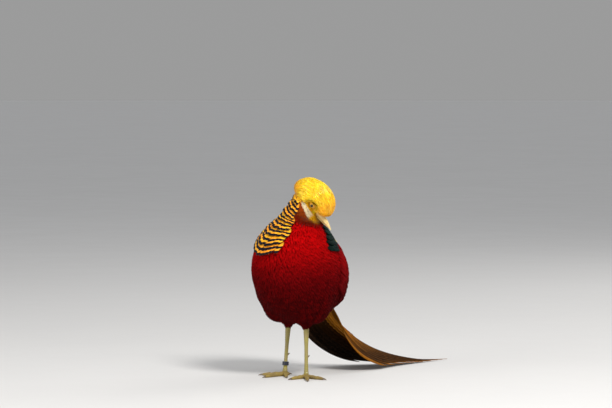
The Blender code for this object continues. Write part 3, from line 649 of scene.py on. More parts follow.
def placed(shape: Vane, place: Place, root: Array, tip: Array, width: Array | float,
           low: Array | float, high: Array | float, bend: Array | float = 0.0, power: float = 1.0) -> Array:
    """Feathers over a surface with two coordinates of its own.

    Args:
        shape: the vane.
        place: turns two coordinates and a height into points.
        root: n by 2 coordinates of the roots.
        tip: n by 2 coordinates of the tips.
        width: each one's half width in the second coordinate.
        low: height of each root.
        high: height of each tip.
        bend: sideways bow in the second coordinate.
        power: how late the height rises.

    Returns:
        n by rows by columns by 3 positions.
    """
    s, w, rise = (g[None] for g in shape.grid())
    one = np.ones((len(root), 1, 1))
    width, low, high, bend = (np.asarray(x, float)[..., None, None] * one for x in (width, low, high, bend))
    u = root[:, 0, None, None] + (tip[:, 0] - root[:, 0])[:, None, None] * s
    v = root[:, 1, None, None] + (tip[:, 1] - root[:, 1])[:, None, None] * s
    v = v + width * w + bend * np.sin(math.pi * np.clip(s, 0, 1))
    return place(u, v, low + (high - low) * np.clip(s, 0, 1) ** power + rise)


def mixed(a: Colour, b: Colour, t: Array) -> Array:
    """Rows of colour from a at 0 to b at 1."""
    t = np.asarray(t, float)[..., None]
    return np.array(a) * (1 - t) + np.array(b) * t


def tinted(base: Array, hue: Colour, share: Array) -> Array:
    """Rows of colour with a hue laid over them by each one's share."""
    return base * (1 - share[..., None]) + share[..., None] * np.array(hue)


def varied(tint: Array, rng: Random, amount: float = 0.12) -> Array:
    """Each row of colour made a little lighter or darker at random."""
    return np.clip(tint * (1 + amount * rng.standard_normal((len(tint), 1))), 0.001, 1)


def small_patch(corner: Array, most: float = 0.996, size: float = 0.003) -> Array:
    """A small patch in the bake map at each corner, no corner past the most."""
    return np.concatenate([np.clip(corner, 0, most), np.full(corner.shape, size)], 1)


def unrolled(local: Array) -> Array:
    """Rows of the turn about the first axis and the angle from its front pole, each from 0 to 1.

    Args:
        local: rows of places round the pole, the first axis ahead.

    Returns:
        Rows of two shares.
    """
    turn = np.arctan2(local[:, 1], local[:, 2]) / (2 * math.pi) + 0.5
    return pairs(turn, np.arccos(np.clip(local[:, 0] / np.linalg.norm(local, axis=1), -1, 1)) / math.pi)


def body_patch(roots: Array) -> Array:
    """A small patch for each feather at its root's place on the unrolled trunk."""
    return small_patch(unrolled((roots - BIRD.trunk.centre) @ BIRD.trunk.axes.T), 0.997)


def numbered(counts: list[int]) -> Array:
    """Each feather's number in its own tier."""
    return np.concatenate([np.arange(count) for count in counts])


def tier_patch(counts: list[int]) -> Array:
    """A larger patch for each feather of a tiered layer, at its root's place in the layer's own two ways.

    Args:
        counts: how many feathers each tier has.

    Returns:
        n by 4, corner and size.
    """
    across, up = 1 / np.repeat(np.array(counts, float), counts), 1 / len(counts)
    tier = np.repeat(np.arange(len(counts)), counts)
    values = (numbered(counts) + 0.05) * across, (tier + 0.05) * up, 0.9 * across, 0.9 * up
    return np.stack(np.broadcast_arrays(*values), -1)


# Finishes


class Graph:
    """A node tree with short calls for making and joining nodes."""

    def __init__(self, tree: bpy.types.NodeTree) -> None:
        """Keeps the tree."""
        self.tree = tree

    def add(self, kind: str, inputs: Inputs | None = None, **settings: object) -> bpy.types.Node:
        """A new node of a kind with its properties set and its inputs joined.

        Args:
            kind: the node's class name.
            inputs: sockets or values by name or number.
            settings: its properties.

        Returns:
            The node.
        """
        node = self.tree.nodes.new(kind)
        for key, value in settings.items():
            setattr(node, key, value)
        self.fill(node, inputs or {})
        return node

    def fill(self, node: bpy.types.Node, inputs: Inputs) -> None:
        """Joins or sets a node's inputs, given by name or number.

        Args:
            node: the node.
            inputs: sockets or values.
        """
        for key, value in inputs.items():
            self.join(value, node.inputs[key])

    def join(self, source: object, target: object) -> None:
        """A link into a socket, or a plain number or colour set on it.

        Args:
            source: a socket, number or colour.
            target: the input it goes to.
        """
        if isinstance(source, (int, float)):
            target.default_value = source
        elif isinstance(source, tuple):
            target.default_value = (*source, 1) if len(target.default_value) == 4 else source
        else:
            self.tree.links.new(source, target)

    def math(self, operation: str, a: object, b: object = 0.0) -> object:
        """The output of a Math node."""
        return self.add("ShaderNodeMath", {0: a, 1: b}, operation=operation).outputs[0]

    def mix(self, factor: object, a: object, b: object, blend: str = "MIX") -> object:
        """The colour output of a Mix node."""
        return self.add("ShaderNodeMix", {"Factor": factor, 6: a, 7: b}, data_type="RGBA",
                        blend_type=blend).outputs[2]

    def ranged(self, value: object, low: float, high: float, first: float = 0.0, last: float = 1.0) -> object:
        """The output of a Map Range node with soft ends.

        Args:
            value: the socket.
            low: where the range starts.
            high: where it ends.
            first: the output at low.
            last: the output at high.

        Returns:
            The output socket.
        """
        limits = {"From Min": low, "From Max": high, "To Min": first, "To Max": last}
        return self.add("ShaderNodeMapRange", {"Value": value, **limits},
                        interpolation_type="SMOOTHSTEP").outputs[0]

    def noise(self, vector: object, scale: float, detail: float = 2.0, rough: float = 0.5) -> object:
        """The value of a Noise Texture."""
        inputs = {"Vector": vector, "Scale": scale, "Detail": detail, "Roughness": rough}
        return self.add("ShaderNodeTexNoise", inputs).outputs["Fac"]

    def stretched(self, vector: object, scale: tuple[float, float, float]) -> object:
        """A vector scaled by a Mapping node."""
        return self.add("ShaderNodeMapping", {"Vector": vector, "Scale": scale}).outputs[0]

    def bump(self, height: object, strength: float, distance: float) -> object:
        """The normal from a Bump node."""
        inputs = {"Strength": strength, "Distance": distance, "Height": height}
        return self.add("ShaderNodeBump", inputs).outputs[0]

    def ramp(self, value: object, stops: list[tuple[float, float]]) -> object:
        """Grey levels by position on a Color Ramp.

        Args:
            value: the socket.
            stops: positions with their grey levels.

        Returns:
            The output socket.
        """
        node = self.add("ShaderNodeValToRGB", {0: value})
        elements = node.color_ramp.elements
        while len(elements) < len(stops):
            elements.new(0.5)
        for element, (position, level) in zip(elements, stops):
            element.position = position
            element.color = (level, level, level, 1)
        return node.outputs[0]


@dataclass(frozen=True)
class Finish:
    """A look with a name, which becomes one Blender material."""

    name: str

    def dress(self, g: Graph, shader: bpy.types.Node) -> None:
        """Joins the look's nodes to the shader."""
        raise NotImplementedError

    def material(self) -> Material:
        """The Blender material, made once.

        Returns:
            The material.
        """
        if self.name not in bpy.data.materials:
            mat = bpy.data.materials.new(self.name)
            mat.use_nodes = True
            self.dress(Graph(mat.node_tree), mat.node_tree.nodes["Principled BSDF"])
        return bpy.data.materials[self.name]


def barb_group() -> bpy.types.NodeTree:
    """The fine lines of a feather's barbs, slanting from its shaft to both edges, and the shaft itself.

    Lines are the sine of along * count - distance from the shaft * slant, the shaft is a thin
    bright line down the middle, and edge is the distance from the shaft, 1 at the rim.

    Returns:
        The node group, made once.
    """
    if "barb_lines" in bpy.data.node_groups:
        return bpy.data.node_groups["barb_lines"]
    tree = bpy.data.node_groups.new("barb_lines", "ShaderNodeTree")
    for name, kind, way in (("Vane", "NodeSocketVector", "INPUT"), ("Count", "NodeSocketFloat", "INPUT"),
                            ("Slant", "NodeSocketFloat", "INPUT"), ("Lines", "NodeSocketFloat", "OUTPUT"),
                            ("Shaft", "NodeSocketFloat", "OUTPUT"), ("Along", "NodeSocketFloat", "OUTPUT"),
                            ("Edge", "NodeSocketFloat", "OUTPUT")):
        tree.interface.new_socket(name=name, in_out=way, socket_type=kind)
    g = Graph(tree)
    given, out = g.add("NodeGroupInput"), g.add("NodeGroupOutput")
    parts = g.add("ShaderNodeSeparateXYZ", {0: given.outputs["Vane"]})
    off = g.math("ABSOLUTE", g.math("SUBTRACT", parts.outputs[0], 0.5))
    phase = g.math("SUBTRACT", g.math("MULTIPLY", parts.outputs[1], given.outputs["Count"]),
                   g.math("MULTIPLY", off, given.outputs["Slant"]))
    wave = g.math("MULTIPLY_ADD", g.math("SINE", phase), 0.5)
    wave.node.inputs[2].default_value = 0.5
    g.fill(out, {"Lines": wave, "Shaft": g.ranged(off, 0.012, 0.035, 1.0, 0.0), "Along": parts.outputs[1],
                 "Edge": g.math("MULTIPLY", off, 2.0)})
    return tree


@dataclass(frozen=True)
class FeatherFinish(Finish):
    """A feather's look: its own colour, darker towards the root as painted shade where the feathers overlap
    and as their own darker bases, with barbs, shaft, and bars or a rim of a second colour.
    """

    roughness: float = 0.5
    metallic: float = 0.0
    gloss: float = 0.22
    # The root darkening is painted shade where the feathers overlap, with the feathers' own darker bases.
    root: float = 0.45
    root_shade_end: float = 0.6
    barbs: float = 0.25
    count: float = 150.0
    slant: float = 40.0
    shaft: float = 0.0
    second: Colour = (0.01, 0.01, 0.02)
    bars: tuple[tuple[float, float], ...] = ()
    wobble: float = 0.04
    rim: float = 0.0
    mottle: float = 0.0
    mottle_colour: Colour = (0.3, 0.1, 0.02)
    streak: float = 0.0
    streak_colour: Colour = (1.0, 0.9, 0.5)
    bump: float = 0.25

    def dress(self, g: Graph, shader: bpy.types.Node) -> None:
        """Joins the colour, roughness and normal to the shader.

        Args:
            g: the material's graph.
            shader: its shader node.
        """
        vane = g.add("ShaderNodeUVMap", uv_map="Vane").outputs[0]
        place = g.add("ShaderNodeTexCoord").outputs["Object"]
        coat = g.add("ShaderNodeAttribute", attribute_name="Coat").outputs["Color"]
        barb = g.add("ShaderNodeGroup")
        barb.node_tree = barb_group()
        g.fill(barb, {"Vane": vane, "Count": self.count, "Slant": self.slant})
        along, edge, lines = (barb.outputs[k] for k in ("Along", "Edge", "Lines"))
        colour = coat
        if self.mottle:
            fleck = g.noise(g.stretched(vane, (7.0, 42.0, 1.0)), 1.0, 3.0, 0.65)
            grain = g.math("MULTIPLY", g.noise(place, 260.0), 0.25)
            spots = g.ranged(g.math("ADD", fleck, grain), 0.58, 0.70)
            colour = g.mix(g.math("MULTIPLY", spots, self.mottle), colour, self.mottle_colour)
        if self.streak:
            fine = g.noise(g.stretched(vane, (14.0, 1.2, 1.0)), 1.0, 3.0, 0.6)
            light = g.ranged(g.math("ADD", fine, g.math("MULTIPLY", g.noise(place, 150.0), 0.4)), 0.62, 0.86)
            colour = g.mix(g.math("MULTIPLY", light, self.streak), colour, self.streak_colour)
        if self.bars:
            shifted = g.math("ADD", along, g.math("MULTIPLY", g.math("SUBTRACT", g.noise(place, 90.0), 0.5),
                                                  self.wobble * 2))
            shifted = g.math("ADD", shifted, g.math("MULTIPLY", g.math("POWER", edge, 2.0), self.wobble))
            stops = [(0.0, 0.0)]
            for start, end in self.bars:
                stops += [(start - 0.012, 0.0), (start + 0.012, 1.0), (min(end - 0.012, 0.999), 1.0),
                          (min(end + 0.012, 1.0), 0.0)]
            mask = g.ramp(shifted, stops[:32])
            colour = g.mix(mask, colour, self.second)
        if self.rim:
            away = g.math("MAXIMUM", g.math("POWER", edge, 3.0), g.ranged(along, 0.80, 0.97))
            colour = g.mix(g.ranged(away, 1.0 - self.rim, 1.05 - self.rim * 0.4), colour, self.second)
        if self.shaft:
            colour = g.mix(g.math("MULTIPLY", barb.outputs["Shaft"], self.shaft), colour, (0.75, 0.55, 0.3))
        # painted shade: darker towards the root, where the next feathers lie over it, with the feathers' own
        # darker bases; barb lines and random tone darken it too
        dark = g.math("MULTIPLY", g.ranged(along, 0.05, self.root_shade_end, self.root, 1.0),
                      g.ranged(lines, 0.0, 1.0, 1.0 - self.barbs, 1.0))
        dark = g.math("MULTIPLY", dark, g.ranged(g.noise(place, 70.0), 0.25, 0.75, 0.86, 1.1))
        g.fill(shader, {"Base Color": g.mix(1.0, colour, dark, "MULTIPLY"), "Roughness": self.roughness,
                        "Metallic": self.metallic, "Specular IOR Level": self.gloss,
                        "Normal": g.bump(lines, self.bump, 0.0002)})


@dataclass(frozen=True)
class SkinFinish(Finish):
    """Skin, horn or scales: a colour with two scales of grain, and a gloss."""

    colour: Colour
    other: Colour
    grain: float = 300.0
    roughness: float = 0.5
    bump: float = 0.3
    deep: float = 0.0002
    coat: float = 0.0
    cells: bool = False
    subsurface: float = 0.0
    attribute: bool = False

    def dress(self, g: Graph, shader: bpy.types.Node) -> None:
        """Joins the colour, roughness and normal to the shader.

        Args:
            g: the material's graph.
            shader: its shader node.
        """
        place = g.add("ShaderNodeTexCoord").outputs["Object"]
        slow, fast = g.noise(place, self.grain * 0.2, 3.0), g.noise(place, self.grain, 4.0, 0.6)
        base = self.colour
        if self.attribute:
            base = g.add("ShaderNodeAttribute", attribute_name="Coat").outputs["Color"]
        grain = g.math("ADD", g.math("MULTIPLY", slow, 0.6), g.math("MULTIPLY", fast, 0.4))
        factor = g.ranged(grain, 0.35, 0.68)
        colour = g.mix(factor, base, self.other)
        height = fast
        if self.cells:
            cell = g.add("ShaderNodeTexVoronoi", {"Vector": place, "Scale": self.grain * 2.2},
                         feature="DISTANCE_TO_EDGE")
            gap = g.ranged(cell.outputs["Distance"], 0.0, 0.16)
            colour = g.mix(g.math("MULTIPLY", g.math("SUBTRACT", 1.0, gap), 0.5), colour,
                           tuple(0.45 * c for c in self.colour))
            height = g.math("ADD", g.math("MULTIPLY", fast, 0.25), gap)
        dull = g.ranged(fast, 0.3, 0.7, self.roughness * 0.85, min(1.0, self.roughness * 1.15))
        g.fill(shader, {"Base Color": colour, "Roughness": dull, "Coat Weight": self.coat,
                        "Coat Roughness": 0.08, "Subsurface Weight": self.subsurface,
                        "Subsurface Radius": (0.004, 0.0015, 0.0008),
                        "Normal": g.bump(height, self.bump, self.deep)})


@dataclass(frozen=True)
class EyeFinish(Finish):
    """Colour by the angle from the line of sight: a wide pupil and a deep yellow iris, painted shade over the
    eye, and a dark rim.
    """

    def dress(self, g: Graph, shader: bpy.types.Node) -> None:
        """Joins the rings of colour and a wet gloss to the shader.

        Args:
            g: the material's graph.
            shader: its shader node.
        """
        sight = g.add("ShaderNodeUVMap", uv_map="Sight").outputs[0]
        polar = g.add("ShaderNodeSeparateXYZ", {0: sight}).outputs[0]
        rays = g.noise(g.stretched(sight, (3.0, 60.0, 1.0)), 1.0, 2.0)
        # painted shade: the pupil is drawn wide and the iris deep, standing for the shade over the eye; the
        # bird's own eye is pale yellow with a small pupil
        iris = g.mix(rays, (0.60, 0.33, 0.04), (0.85, 0.60, 0.16))
        rings = [(0.0, 1.0), (0.34, 1.0), (0.37, 0.0), (0.60, 0.0), (0.66, 1.0)]
        g.fill(shader, {"Base Color": g.mix(g.ramp(polar, rings), iris, (0.004, 0.003, 0.003)),
                        "Roughness": 0.15, "Specular IOR Level": 0.1, "Coat Weight": 0.6,
                        "Coat Roughness": 0.02})


class Hue:
    """The bird's colours, linear."""

    SCARLET: Colour = (0.50, 0.0012, 0.0018)
    # CRIMSON and MAROON are also used by body_hue as painted shade low on the body.
    CRIMSON: Colour = (0.115, 0.001, 0.002)
    MAROON: Colour = (0.040, 0.001, 0.0015)
    VENT: Colour = (0.24, 0.05, 0.02)
    GOLD: Colour = (1.0, 0.52, 0.004)
    PALE_GOLD: Colour = (1.0, 0.76, 0.012)
    DEEP_GOLD: Colour = (0.95, 0.31, 0.004)
    ORANGE: Colour = (0.92, 0.24, 0.004)
    NIGHT: Colour = (0.003, 0.003, 0.009)
    GREEN: Colour = (0.001, 0.008, 0.005)
    BLUE: Colour = (0.006, 0.014, 0.085)
    CHESTNUT: Colour = (0.17, 0.035, 0.012)
    BROWN: Colour = (0.060, 0.030, 0.014)
    BLACK: Colour = (0.012, 0.009, 0.007)
    UMBER: Colour = (0.018, 0.008, 0.003)
    AMBER: Colour = (0.27, 0.095, 0.007)
    # painted light: brightens the tail near its root
    LIT_HONEY: Colour = (0.56, 0.21, 0.012)
    BUFF: Colour = (0.42, 0.24, 0.10)
    STRAW: Colour = (0.95, 0.78, 0.50)
    RUST: Colour = (0.33, 0.052, 0.004)
    SHADE: Colour = (0.13, 0.016, 0.002)
    FACE: Colour = (1.0, 0.47, 0.004)
    LEG: Colour = (0.31, 0.26, 0.040)


def body_hue(points: Array) -> Array:
    """The coat's colour by place, the same for skin and feathers.

    Scarlet at the breast darkens downwards to crimson on the belly and flanks and to maroon between
    the legs, painted shade of the lower body. Under the rump's silk it is dull gold. The head is gold
    round the eye, straw on the cheek and rust on the throat, with a painted shadow under the chin.

    Args:
        points: n by 3 places on the bird.

    Returns:
        n by 3 linear colours.
    """
    z = points[:, 2]
    local = (points - BIRD.trunk.centre) @ BIRD.trunk.axes.T
    # painted shade: the coat darkens from scarlet through crimson to maroon towards the bottom of the body
    colour = mixed(Hue.CRIMSON, Hue.SCARLET, smooth(z, 0.150, 0.228))
    colour = tinted(colour, Hue.MAROON, smooth(-z, -0.168, -0.112))
    back = smooth(local[:, 2], 0.02, 0.05) * smooth(-z, -0.25, -0.22)
    colour = tinted(colour, Hue.MAROON, 0.55 * back)
    along, side = BIRD.trunk_angles(points)
    rump = (smooth(-side, -41, -33) * smooth(-along, -15, -9) * smooth(along, -67, -60))[:, None]
    colour = tinted(colour, Hue.VENT, smooth(-local[:, 0], 0.065, 0.085))
    colour = colour * (1 - rump) + 0.6 * rump * np.array(Hue.DEEP_GOLD)
    h = BIRD.head_local(points)
    away = np.linalg.norm(points - BIRD.head_centre, axis=-1)
    face = smooth(-away, -0.036, -0.027)
    across = h[:, 2] - 2.0 + 8.0 / 22.0 * (h[:, 0] + 7.0)
    head = mixed(Hue.FACE, Hue.RUST, smooth(-across, 1.5, 3.5))
    cheek = smooth(-np.abs(across), -3.6, -2.2) * smooth(h[:, 0], -13, -8) * smooth(-h[:, 0], -17, -13)
    head = tinted(head, Hue.STRAW, cheek)
    head = tinted(head, Hue.PALE_GOLD, smooth(-np.hypot(h[:, 0] - 13.5, h[:, 2] - 1.2), -3.4, -2.0))
    # painted shadow under the chin, darkening the throat's lower edge towards the breast
    chin_shadow = smooth(-away, -0.050, -0.034) * smooth(z, 0.236, 0.250)
    colour = tinted(colour, Hue.SHADE, 0.8 * chin_shadow)
    return colour * (1 - face[:, None]) + head * face[:, None]


def flow(points: Array) -> Array:
    """The lie of the coat: back over the head, down the neck and back and down along the trunk.

    Args:
        points: n by 3 places on the bird.

    Returns:
        n by 3 directions, not of unit length.
    """
    z = points[:, 2]
    away = np.linalg.norm(points - BIRD.head_centre, axis=-1)
    head = smooth(-away, -0.036, -0.026)[:, None]
    neck = smooth(z, 0.205, 0.245)[:, None] * (1 - head)
    leg = smooth(-z, -0.125, -0.100)[:, None]
    trunk = -BIRD.trunk.axes[0] + np.array([0, 0, -0.35])
    return (head * (-BIRD.head[0] + np.array([0, 0, -0.25])) + neck * DOWN_NECK
            + (1 - head - neck) * ((1 - leg) * trunk + leg * np.array([0, 0.25, -1.0])))


@dataclass
class Flesh:
    """The skin that carries the coat, and the small feathers of breast, belly, flanks, thighs and face."""

    cell: float = 2.2 * MM
    body_gap: float = 2.05 * MM
    covered_gap: float = 5.0 * MM
    face_gap: float = 1.02 * MM
    body_tries: int = 90000
    face_tries: int = 40000
    seed: int = 5
    body_vane: Vane = Vane(5, 5, (0.30, 0.72, 1.0, 0.92, 0.38), 0.13, 0.30 * MM)
    face_vane: Vane = Vane(4, 3, (0.4, 1.0, 0.9, 0.25), 0.08, 0.22 * MM)

    def build(self) -> list[Piece]:
        """Makes the skin and its feathers.

        Returns:
            The skin, four coat pieces and the face.
        """
        def level(p: Array) -> Array:
            """Distance to the skin under the coat."""
            return BIRD.flesh(p) + BIRD.coat_depth(p)

        low, high = np.array([-0.104, -0.085, 0.066]), np.array([0.060, 0.115, 0.308])
        points, quads = surface_net(level, low, high, self.cell)
        # The skin takes body_hue's colour, its painted shade included, darkened to 0.45 where it shows
        # between the feathers.
        skin = put_mesh("skin", points, [quads],
                        SkinFinish("skin_under_coat", Hue.CRIMSON, Hue.MAROON, 220, roughness=0.7,
                                   attribute=True).material(), None, {"Coat": body_hue(points) * 0.45})
        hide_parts("torso", "neck", "head", "thigh_left", "thigh_right")
        triangles = np.concatenate([quads[:, [0, 1, 2]], quads[:, [0, 2, 3]]])
        near = np.linalg.norm(points[triangles].mean(1) - BIRD.head_centre, axis=-1) < 0.041
        rng = np.random.default_rng(self.seed)
        return [skin, *self.body(points, triangles, rng), self.face(points, triangles[near], rng)]

    def body(self, points: Array, triangles: Array, rng: Random) -> list[Piece]:
        """Breast, belly, flank and thigh feathers, thinner where other layers cover them.

        Args:
            points: the skin's points.
            triangles: the skin's triangles.
            rng: the seeded source.

        Returns:
            Four pieces, breast and flank on each side.
        """
        def gap(p: Array) -> Array:
            """Wider where other layers cover the coat, none under the head or below the hocks.

            Args:
                p: places on the skin.

            Returns:
                The least distance at each, 0 for none.
            """
            along, side = BIRD.trunk_angles(p)
            size = np.where((side < 42) & (along < 40), self.covered_gap, self.body_gap)
            near = np.linalg.norm(p - BIRD.head_centre, axis=-1)
            return np.where((near < 0.030) | (p[:, 2] < 0.0795), 0.0, size)

        roots = scattered(points, triangles, gap, self.body_tries, rng)
        roots = drape(roots, -2.6 * MM, BIRD.flesh, 2)
        ways = unit(flow(roots)) + 0.10 * rng.standard_normal(roots.shape)
        small = smooth(-roots[:, 2], -0.115, -0.085) + smooth(roots[:, 2], 0.235, 0.262)
        length = (15.0 - 7.0 * np.clip(small, 0, 1)) * MM * rng.uniform(0.85, 1.15, len(roots))
        width = (2.2 - 0.8 * np.clip(small, 0, 1)) * MM * rng.uniform(0.85, 1.15, len(roots))
        high = rng.uniform(-0.4, 0.4, len(roots)) * MM
        laid_points = laid(self.body_vane, roots, ways, length, width, -2.6 * MM, high, BIRD.flesh,
                           rng.uniform(-0.4, 0.4, len(roots)))
        tips = roots + length[:, None] * unit(ways)
        # tint from body_hue, with its painted shade towards the bottom of the body
        tint = varied(body_hue(tips), rng, 0.10)
        finish = FeatherFinish("breast_feathers", 0.85, gloss=0.02, root=0.42, root_shade_end=0.7, barbs=0.30,
                               count=90.0, slant=30.0, streak=0.18,
                               streak_colour=(0.60, 0.004, 0.004)).material()
        made = []
        front = laid_points[:, 2, 2, 1] < 0.3 * (roots[:, 0] - MIDWAY[0]) - 0.005
        right = roots[:, 0] < MIDWAY[0]
        for name, chosen in (("breast_feathers_left", front & ~right),
                             ("breast_feathers_right", front & right),
                             ("flank_feathers_left", ~front & ~right),
                             ("flank_feathers_right", ~front & right)):
            made.append(feathers(name, self.body_vane, laid_points[chosen], finish, tint[chosen],
                                 body_patch(roots[chosen])))
            LOG.info("%s: %d feathers", name, chosen.sum())
        return made

    def face(self, points: Array, triangles: Array, rng: Random) -> Piece:
        """Short feathers over face, cheeks and throat, clear of the eyes, bill and crest.

        Args:
            points: the skin's points.
            triangles: its triangles near the head.
            rng: the seeded source.

        Returns:
            One piece.
        """
        eyes = [BIRD.eye_centre(side) for side in Side]

        def gap(p: Array) -> Array:
            """Even over the face, none at the eyes, the bill and under the crest.

            Args:
                p: places on the skin.

            Returns:
                The least distance at each, 0 for none.
            """
            h = BIRD.head_local(p)
            near = np.linalg.norm(p - BIRD.head_centre, axis=-1)
            ring = np.minimum(*(np.linalg.norm(p - e, axis=-1) for e in eyes))
            keep = (near < 0.038) & (ring > 5.6 * MM) & (h[:, 2] < 17)
            bill = (h[:, 0] > 15) & (np.abs(h[:, 1]) < 7.5) & (h[:, 2] > -9.5)
            return np.where(keep & ~bill, self.face_gap, 0.0)

        roots = scattered(points, triangles, gap, self.face_tries, rng)
        roots = drape(roots, -0.6 * MM, BIRD.flesh, 2)
        ways = unit(flow(roots)) + 0.10 * rng.standard_normal(roots.shape)
        h = BIRD.head_local(roots)
        grow = smooth(-h[:, 0], -14, 8)
        length = (2.6 + 2.6 * grow) * MM * rng.uniform(0.85, 1.2, len(roots))
        width = (0.55 + 0.45 * grow) * MM * rng.uniform(0.8, 1.2, len(roots))
        shapes = laid(self.face_vane, roots, ways, length, width, -0.6 * MM,
                      rng.uniform(0.1, 0.8, len(roots)) * MM, BIRD.flesh, rng.uniform(-0.4, 0.4, len(roots)))
        tint = varied(body_hue(roots + length[:, None] * unit(ways)), rng, 0.14)
        finish = FeatherFinish("face_feathers", 0.75, gloss=0.04, root=0.62, barbs=0.2, count=40.0).material()
        LOG.info("face feathers: %d", len(roots))
        return feathers("face_feathers", self.face_vane, shapes, finish, tint, small_patch(unrolled(h)))


@dataclass
class Crest:
    """The silky crest: a core and many fine locks that stream from the bill over the crown to the nape."""

    seed: int = 7
    core_top: float = -2.9 * MM
    core_under: float = -4.6 * MM
    brow_count: int = 1100
    nape_count: int = 420
    lock: Vane = Vane(9, 3, (0.5, 1.0, 1.0, 0.95, 0.8, 0.15), 0.05, 0.30 * MM)

    @property
    def middle(self) -> Array:
        """The middle of the dome."""
        return BIRD.head_point(1.5, 0, 12.5)

    def hollow(self, points: Array) -> Array:
        """Distance to the nearer of the two hollows that leave the eyes free.

        Args:
            points: places.

        Returns:
            Distances, negative inside.
        """
        size = (12, 11.5, 13)
        return np.minimum(*(Egg(BIRD.head_point(8, side * 22, 7), BIRD.head, size, size).distance(points)
                            for side in Side))

    def field(self, points: Array) -> Array:
        """Distance to the dome with its hollows.

        Args:
            points: places.

        Returns:
            Distances, negative inside.
        """
        dome = Egg(self.middle, BIRD.head, (38, 21, 33), (41, 21, 16)).distance(points)
        return -blended(-dome, self.hollow(points), 3 * MM)

    def place(self, a: Array, b: Array, height: Array) -> Array:
        """A point over the dome, whose poles lie low so that locks rise from the bill and fall over the nape.

        Args:
            a: degrees from the bill to the nape.
            b: degrees from the crown to the left.
            height: height over the dome.

        Returns:
            Positions.
        """
        a, b = np.radians(a), np.radians(b)
        tilt = np.radians(-16 + 34 * a / math.pi)[..., None]
        front = np.cos(tilt) * BIRD.head[0] + np.sin(tilt) * BIRD.head[2]
        crown = np.cos(tilt) * BIRD.head[2] - np.sin(tilt) * BIRD.head[0]
        way = (np.cos(a)[..., None] * front + (np.sin(a) * np.sin(b))[..., None] * BIRD.head[1]
               + (np.sin(a) * np.cos(b))[..., None] * crown)
        return drape(self.middle + 30 * MM * way, height, self.field)

    def build(self) -> list[Piece]:
        """Makes the core and the locks, and leaves out the locks that would hang below the brim.

        Returns:
            The core, three rows of locks, the nape's fringe and the brow.
        """
        rng = np.random.default_rng(self.seed)
        gold = FeatherFinish("crest_silk", 0.28, gloss=0.5, root=0.84, root_shade_end=0.3, barbs=0.10, count=30.0,
                             slant=6.0, streak=0.45, streak_colour=(1.0, 0.80, 0.03), bump=0.08).material()
        n, m = 64, 96
        a = np.linspace(6, 172, n)[:, None] * np.ones((1, m))
        b = np.linspace(-100, 100, m)[None, :] * np.ones((n, 1))
        top, under = self.place(a, b, self.core_top + 0 * a), self.place(a, b, self.core_under + 0 * a)
        grid = grid_faces(n, m, False)
        rim = np.concatenate([np.arange(m), np.arange(1, n) * m + m - 1,
                              (n - 1) * m + np.arange(m - 2, -1, -1), np.arange(n - 2, 0, -1) * m])
        wall = np.stack([rim, rim + n * m, np.roll(rim, -1) + n * m, np.roll(rim, -1)], 1)
        points = np.concatenate([top.reshape(-1, 3), under.reshape(-1, 3)])
        faces = [np.concatenate([grid, grid[:, ::-1] + n * m, wall])]
        flat = np.concatenate([np.stack([b, a], -1).reshape(-1, 2)] * 2) / 220 + 0.5
        core = put_mesh("crest_core", points, outward(points, faces), gold, {"Vane": flat},
                        {"Coat": np.repeat([Hue.DEEP_GOLD], len(points), 0)})
        made = [core]
        brim = unit(BIRD.head[2] + 0.22 * BIRD.head[0])
        for name, count, start, span, low, high in (
            ("crest_front", 900, (3, 40), (34, 62), -2.4, 0.5),
            ("crest_crown", 1000, (34, 92), (40, 66), -2.4, 0.6),
            ("crest_nape", 1100, (84, 150), (34, 58), -2.2, 0.9),
        ):
            a0 = rng.uniform(*start, count)
            a1 = np.minimum(a0 + rng.uniform(*span, count), 174)
            b0 = rng.uniform(-112, 112, count)
            b1 = b0 * rng.uniform(0.97, 1.03, count) + rng.uniform(-4, 4, count)
            shapes = placed(self.lock, self.place, pairs(a0, b0), pairs(a1, b1),
                            rng.uniform(1.6, 2.8, count), low * MM, rng.uniform(-1.1, 1.0, count) * high * MM,
                            rng.uniform(-3, 3, count))
            over = ((shapes - BIRD.head_point(0, 0, 3.8)) @ brim).reshape(count, -1).min(1) > (
                -14 * MM * smooth(a0, 96, 120))
            over &= self.hollow(shapes.reshape(-1, 3)).reshape(count, -1).min(1) > 1.0 * MM
            shapes, a0, b0, a1 = shapes[over], a0[over], b0[over], a1[over]
            tint = mixed(Hue.GOLD, Hue.PALE_GOLD, rng.random(len(a0)) ** 1.3)
            # painted shade: deeper gold towards the bill and nape ends of the dome, which turn away from the
            # light, against the paler crown
            edge = smooth(np.abs((a0 + a1) / 2 - 88), 30, 70) * 0.85
            tint = varied(tinted(tint, Hue.DEEP_GOLD, edge), rng, 0.08)
            made.append(feathers(name, self.lock, shapes, gold, tint,
                                 small_patch(pairs(b0 / 240 + 0.5, a0 / 180))))
            LOG.info("%s: %d locks", name, len(a0))
        made.append(self.nape(gold, rng))
        made.append(self.brow(gold, rng))
        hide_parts("crest")
        return made

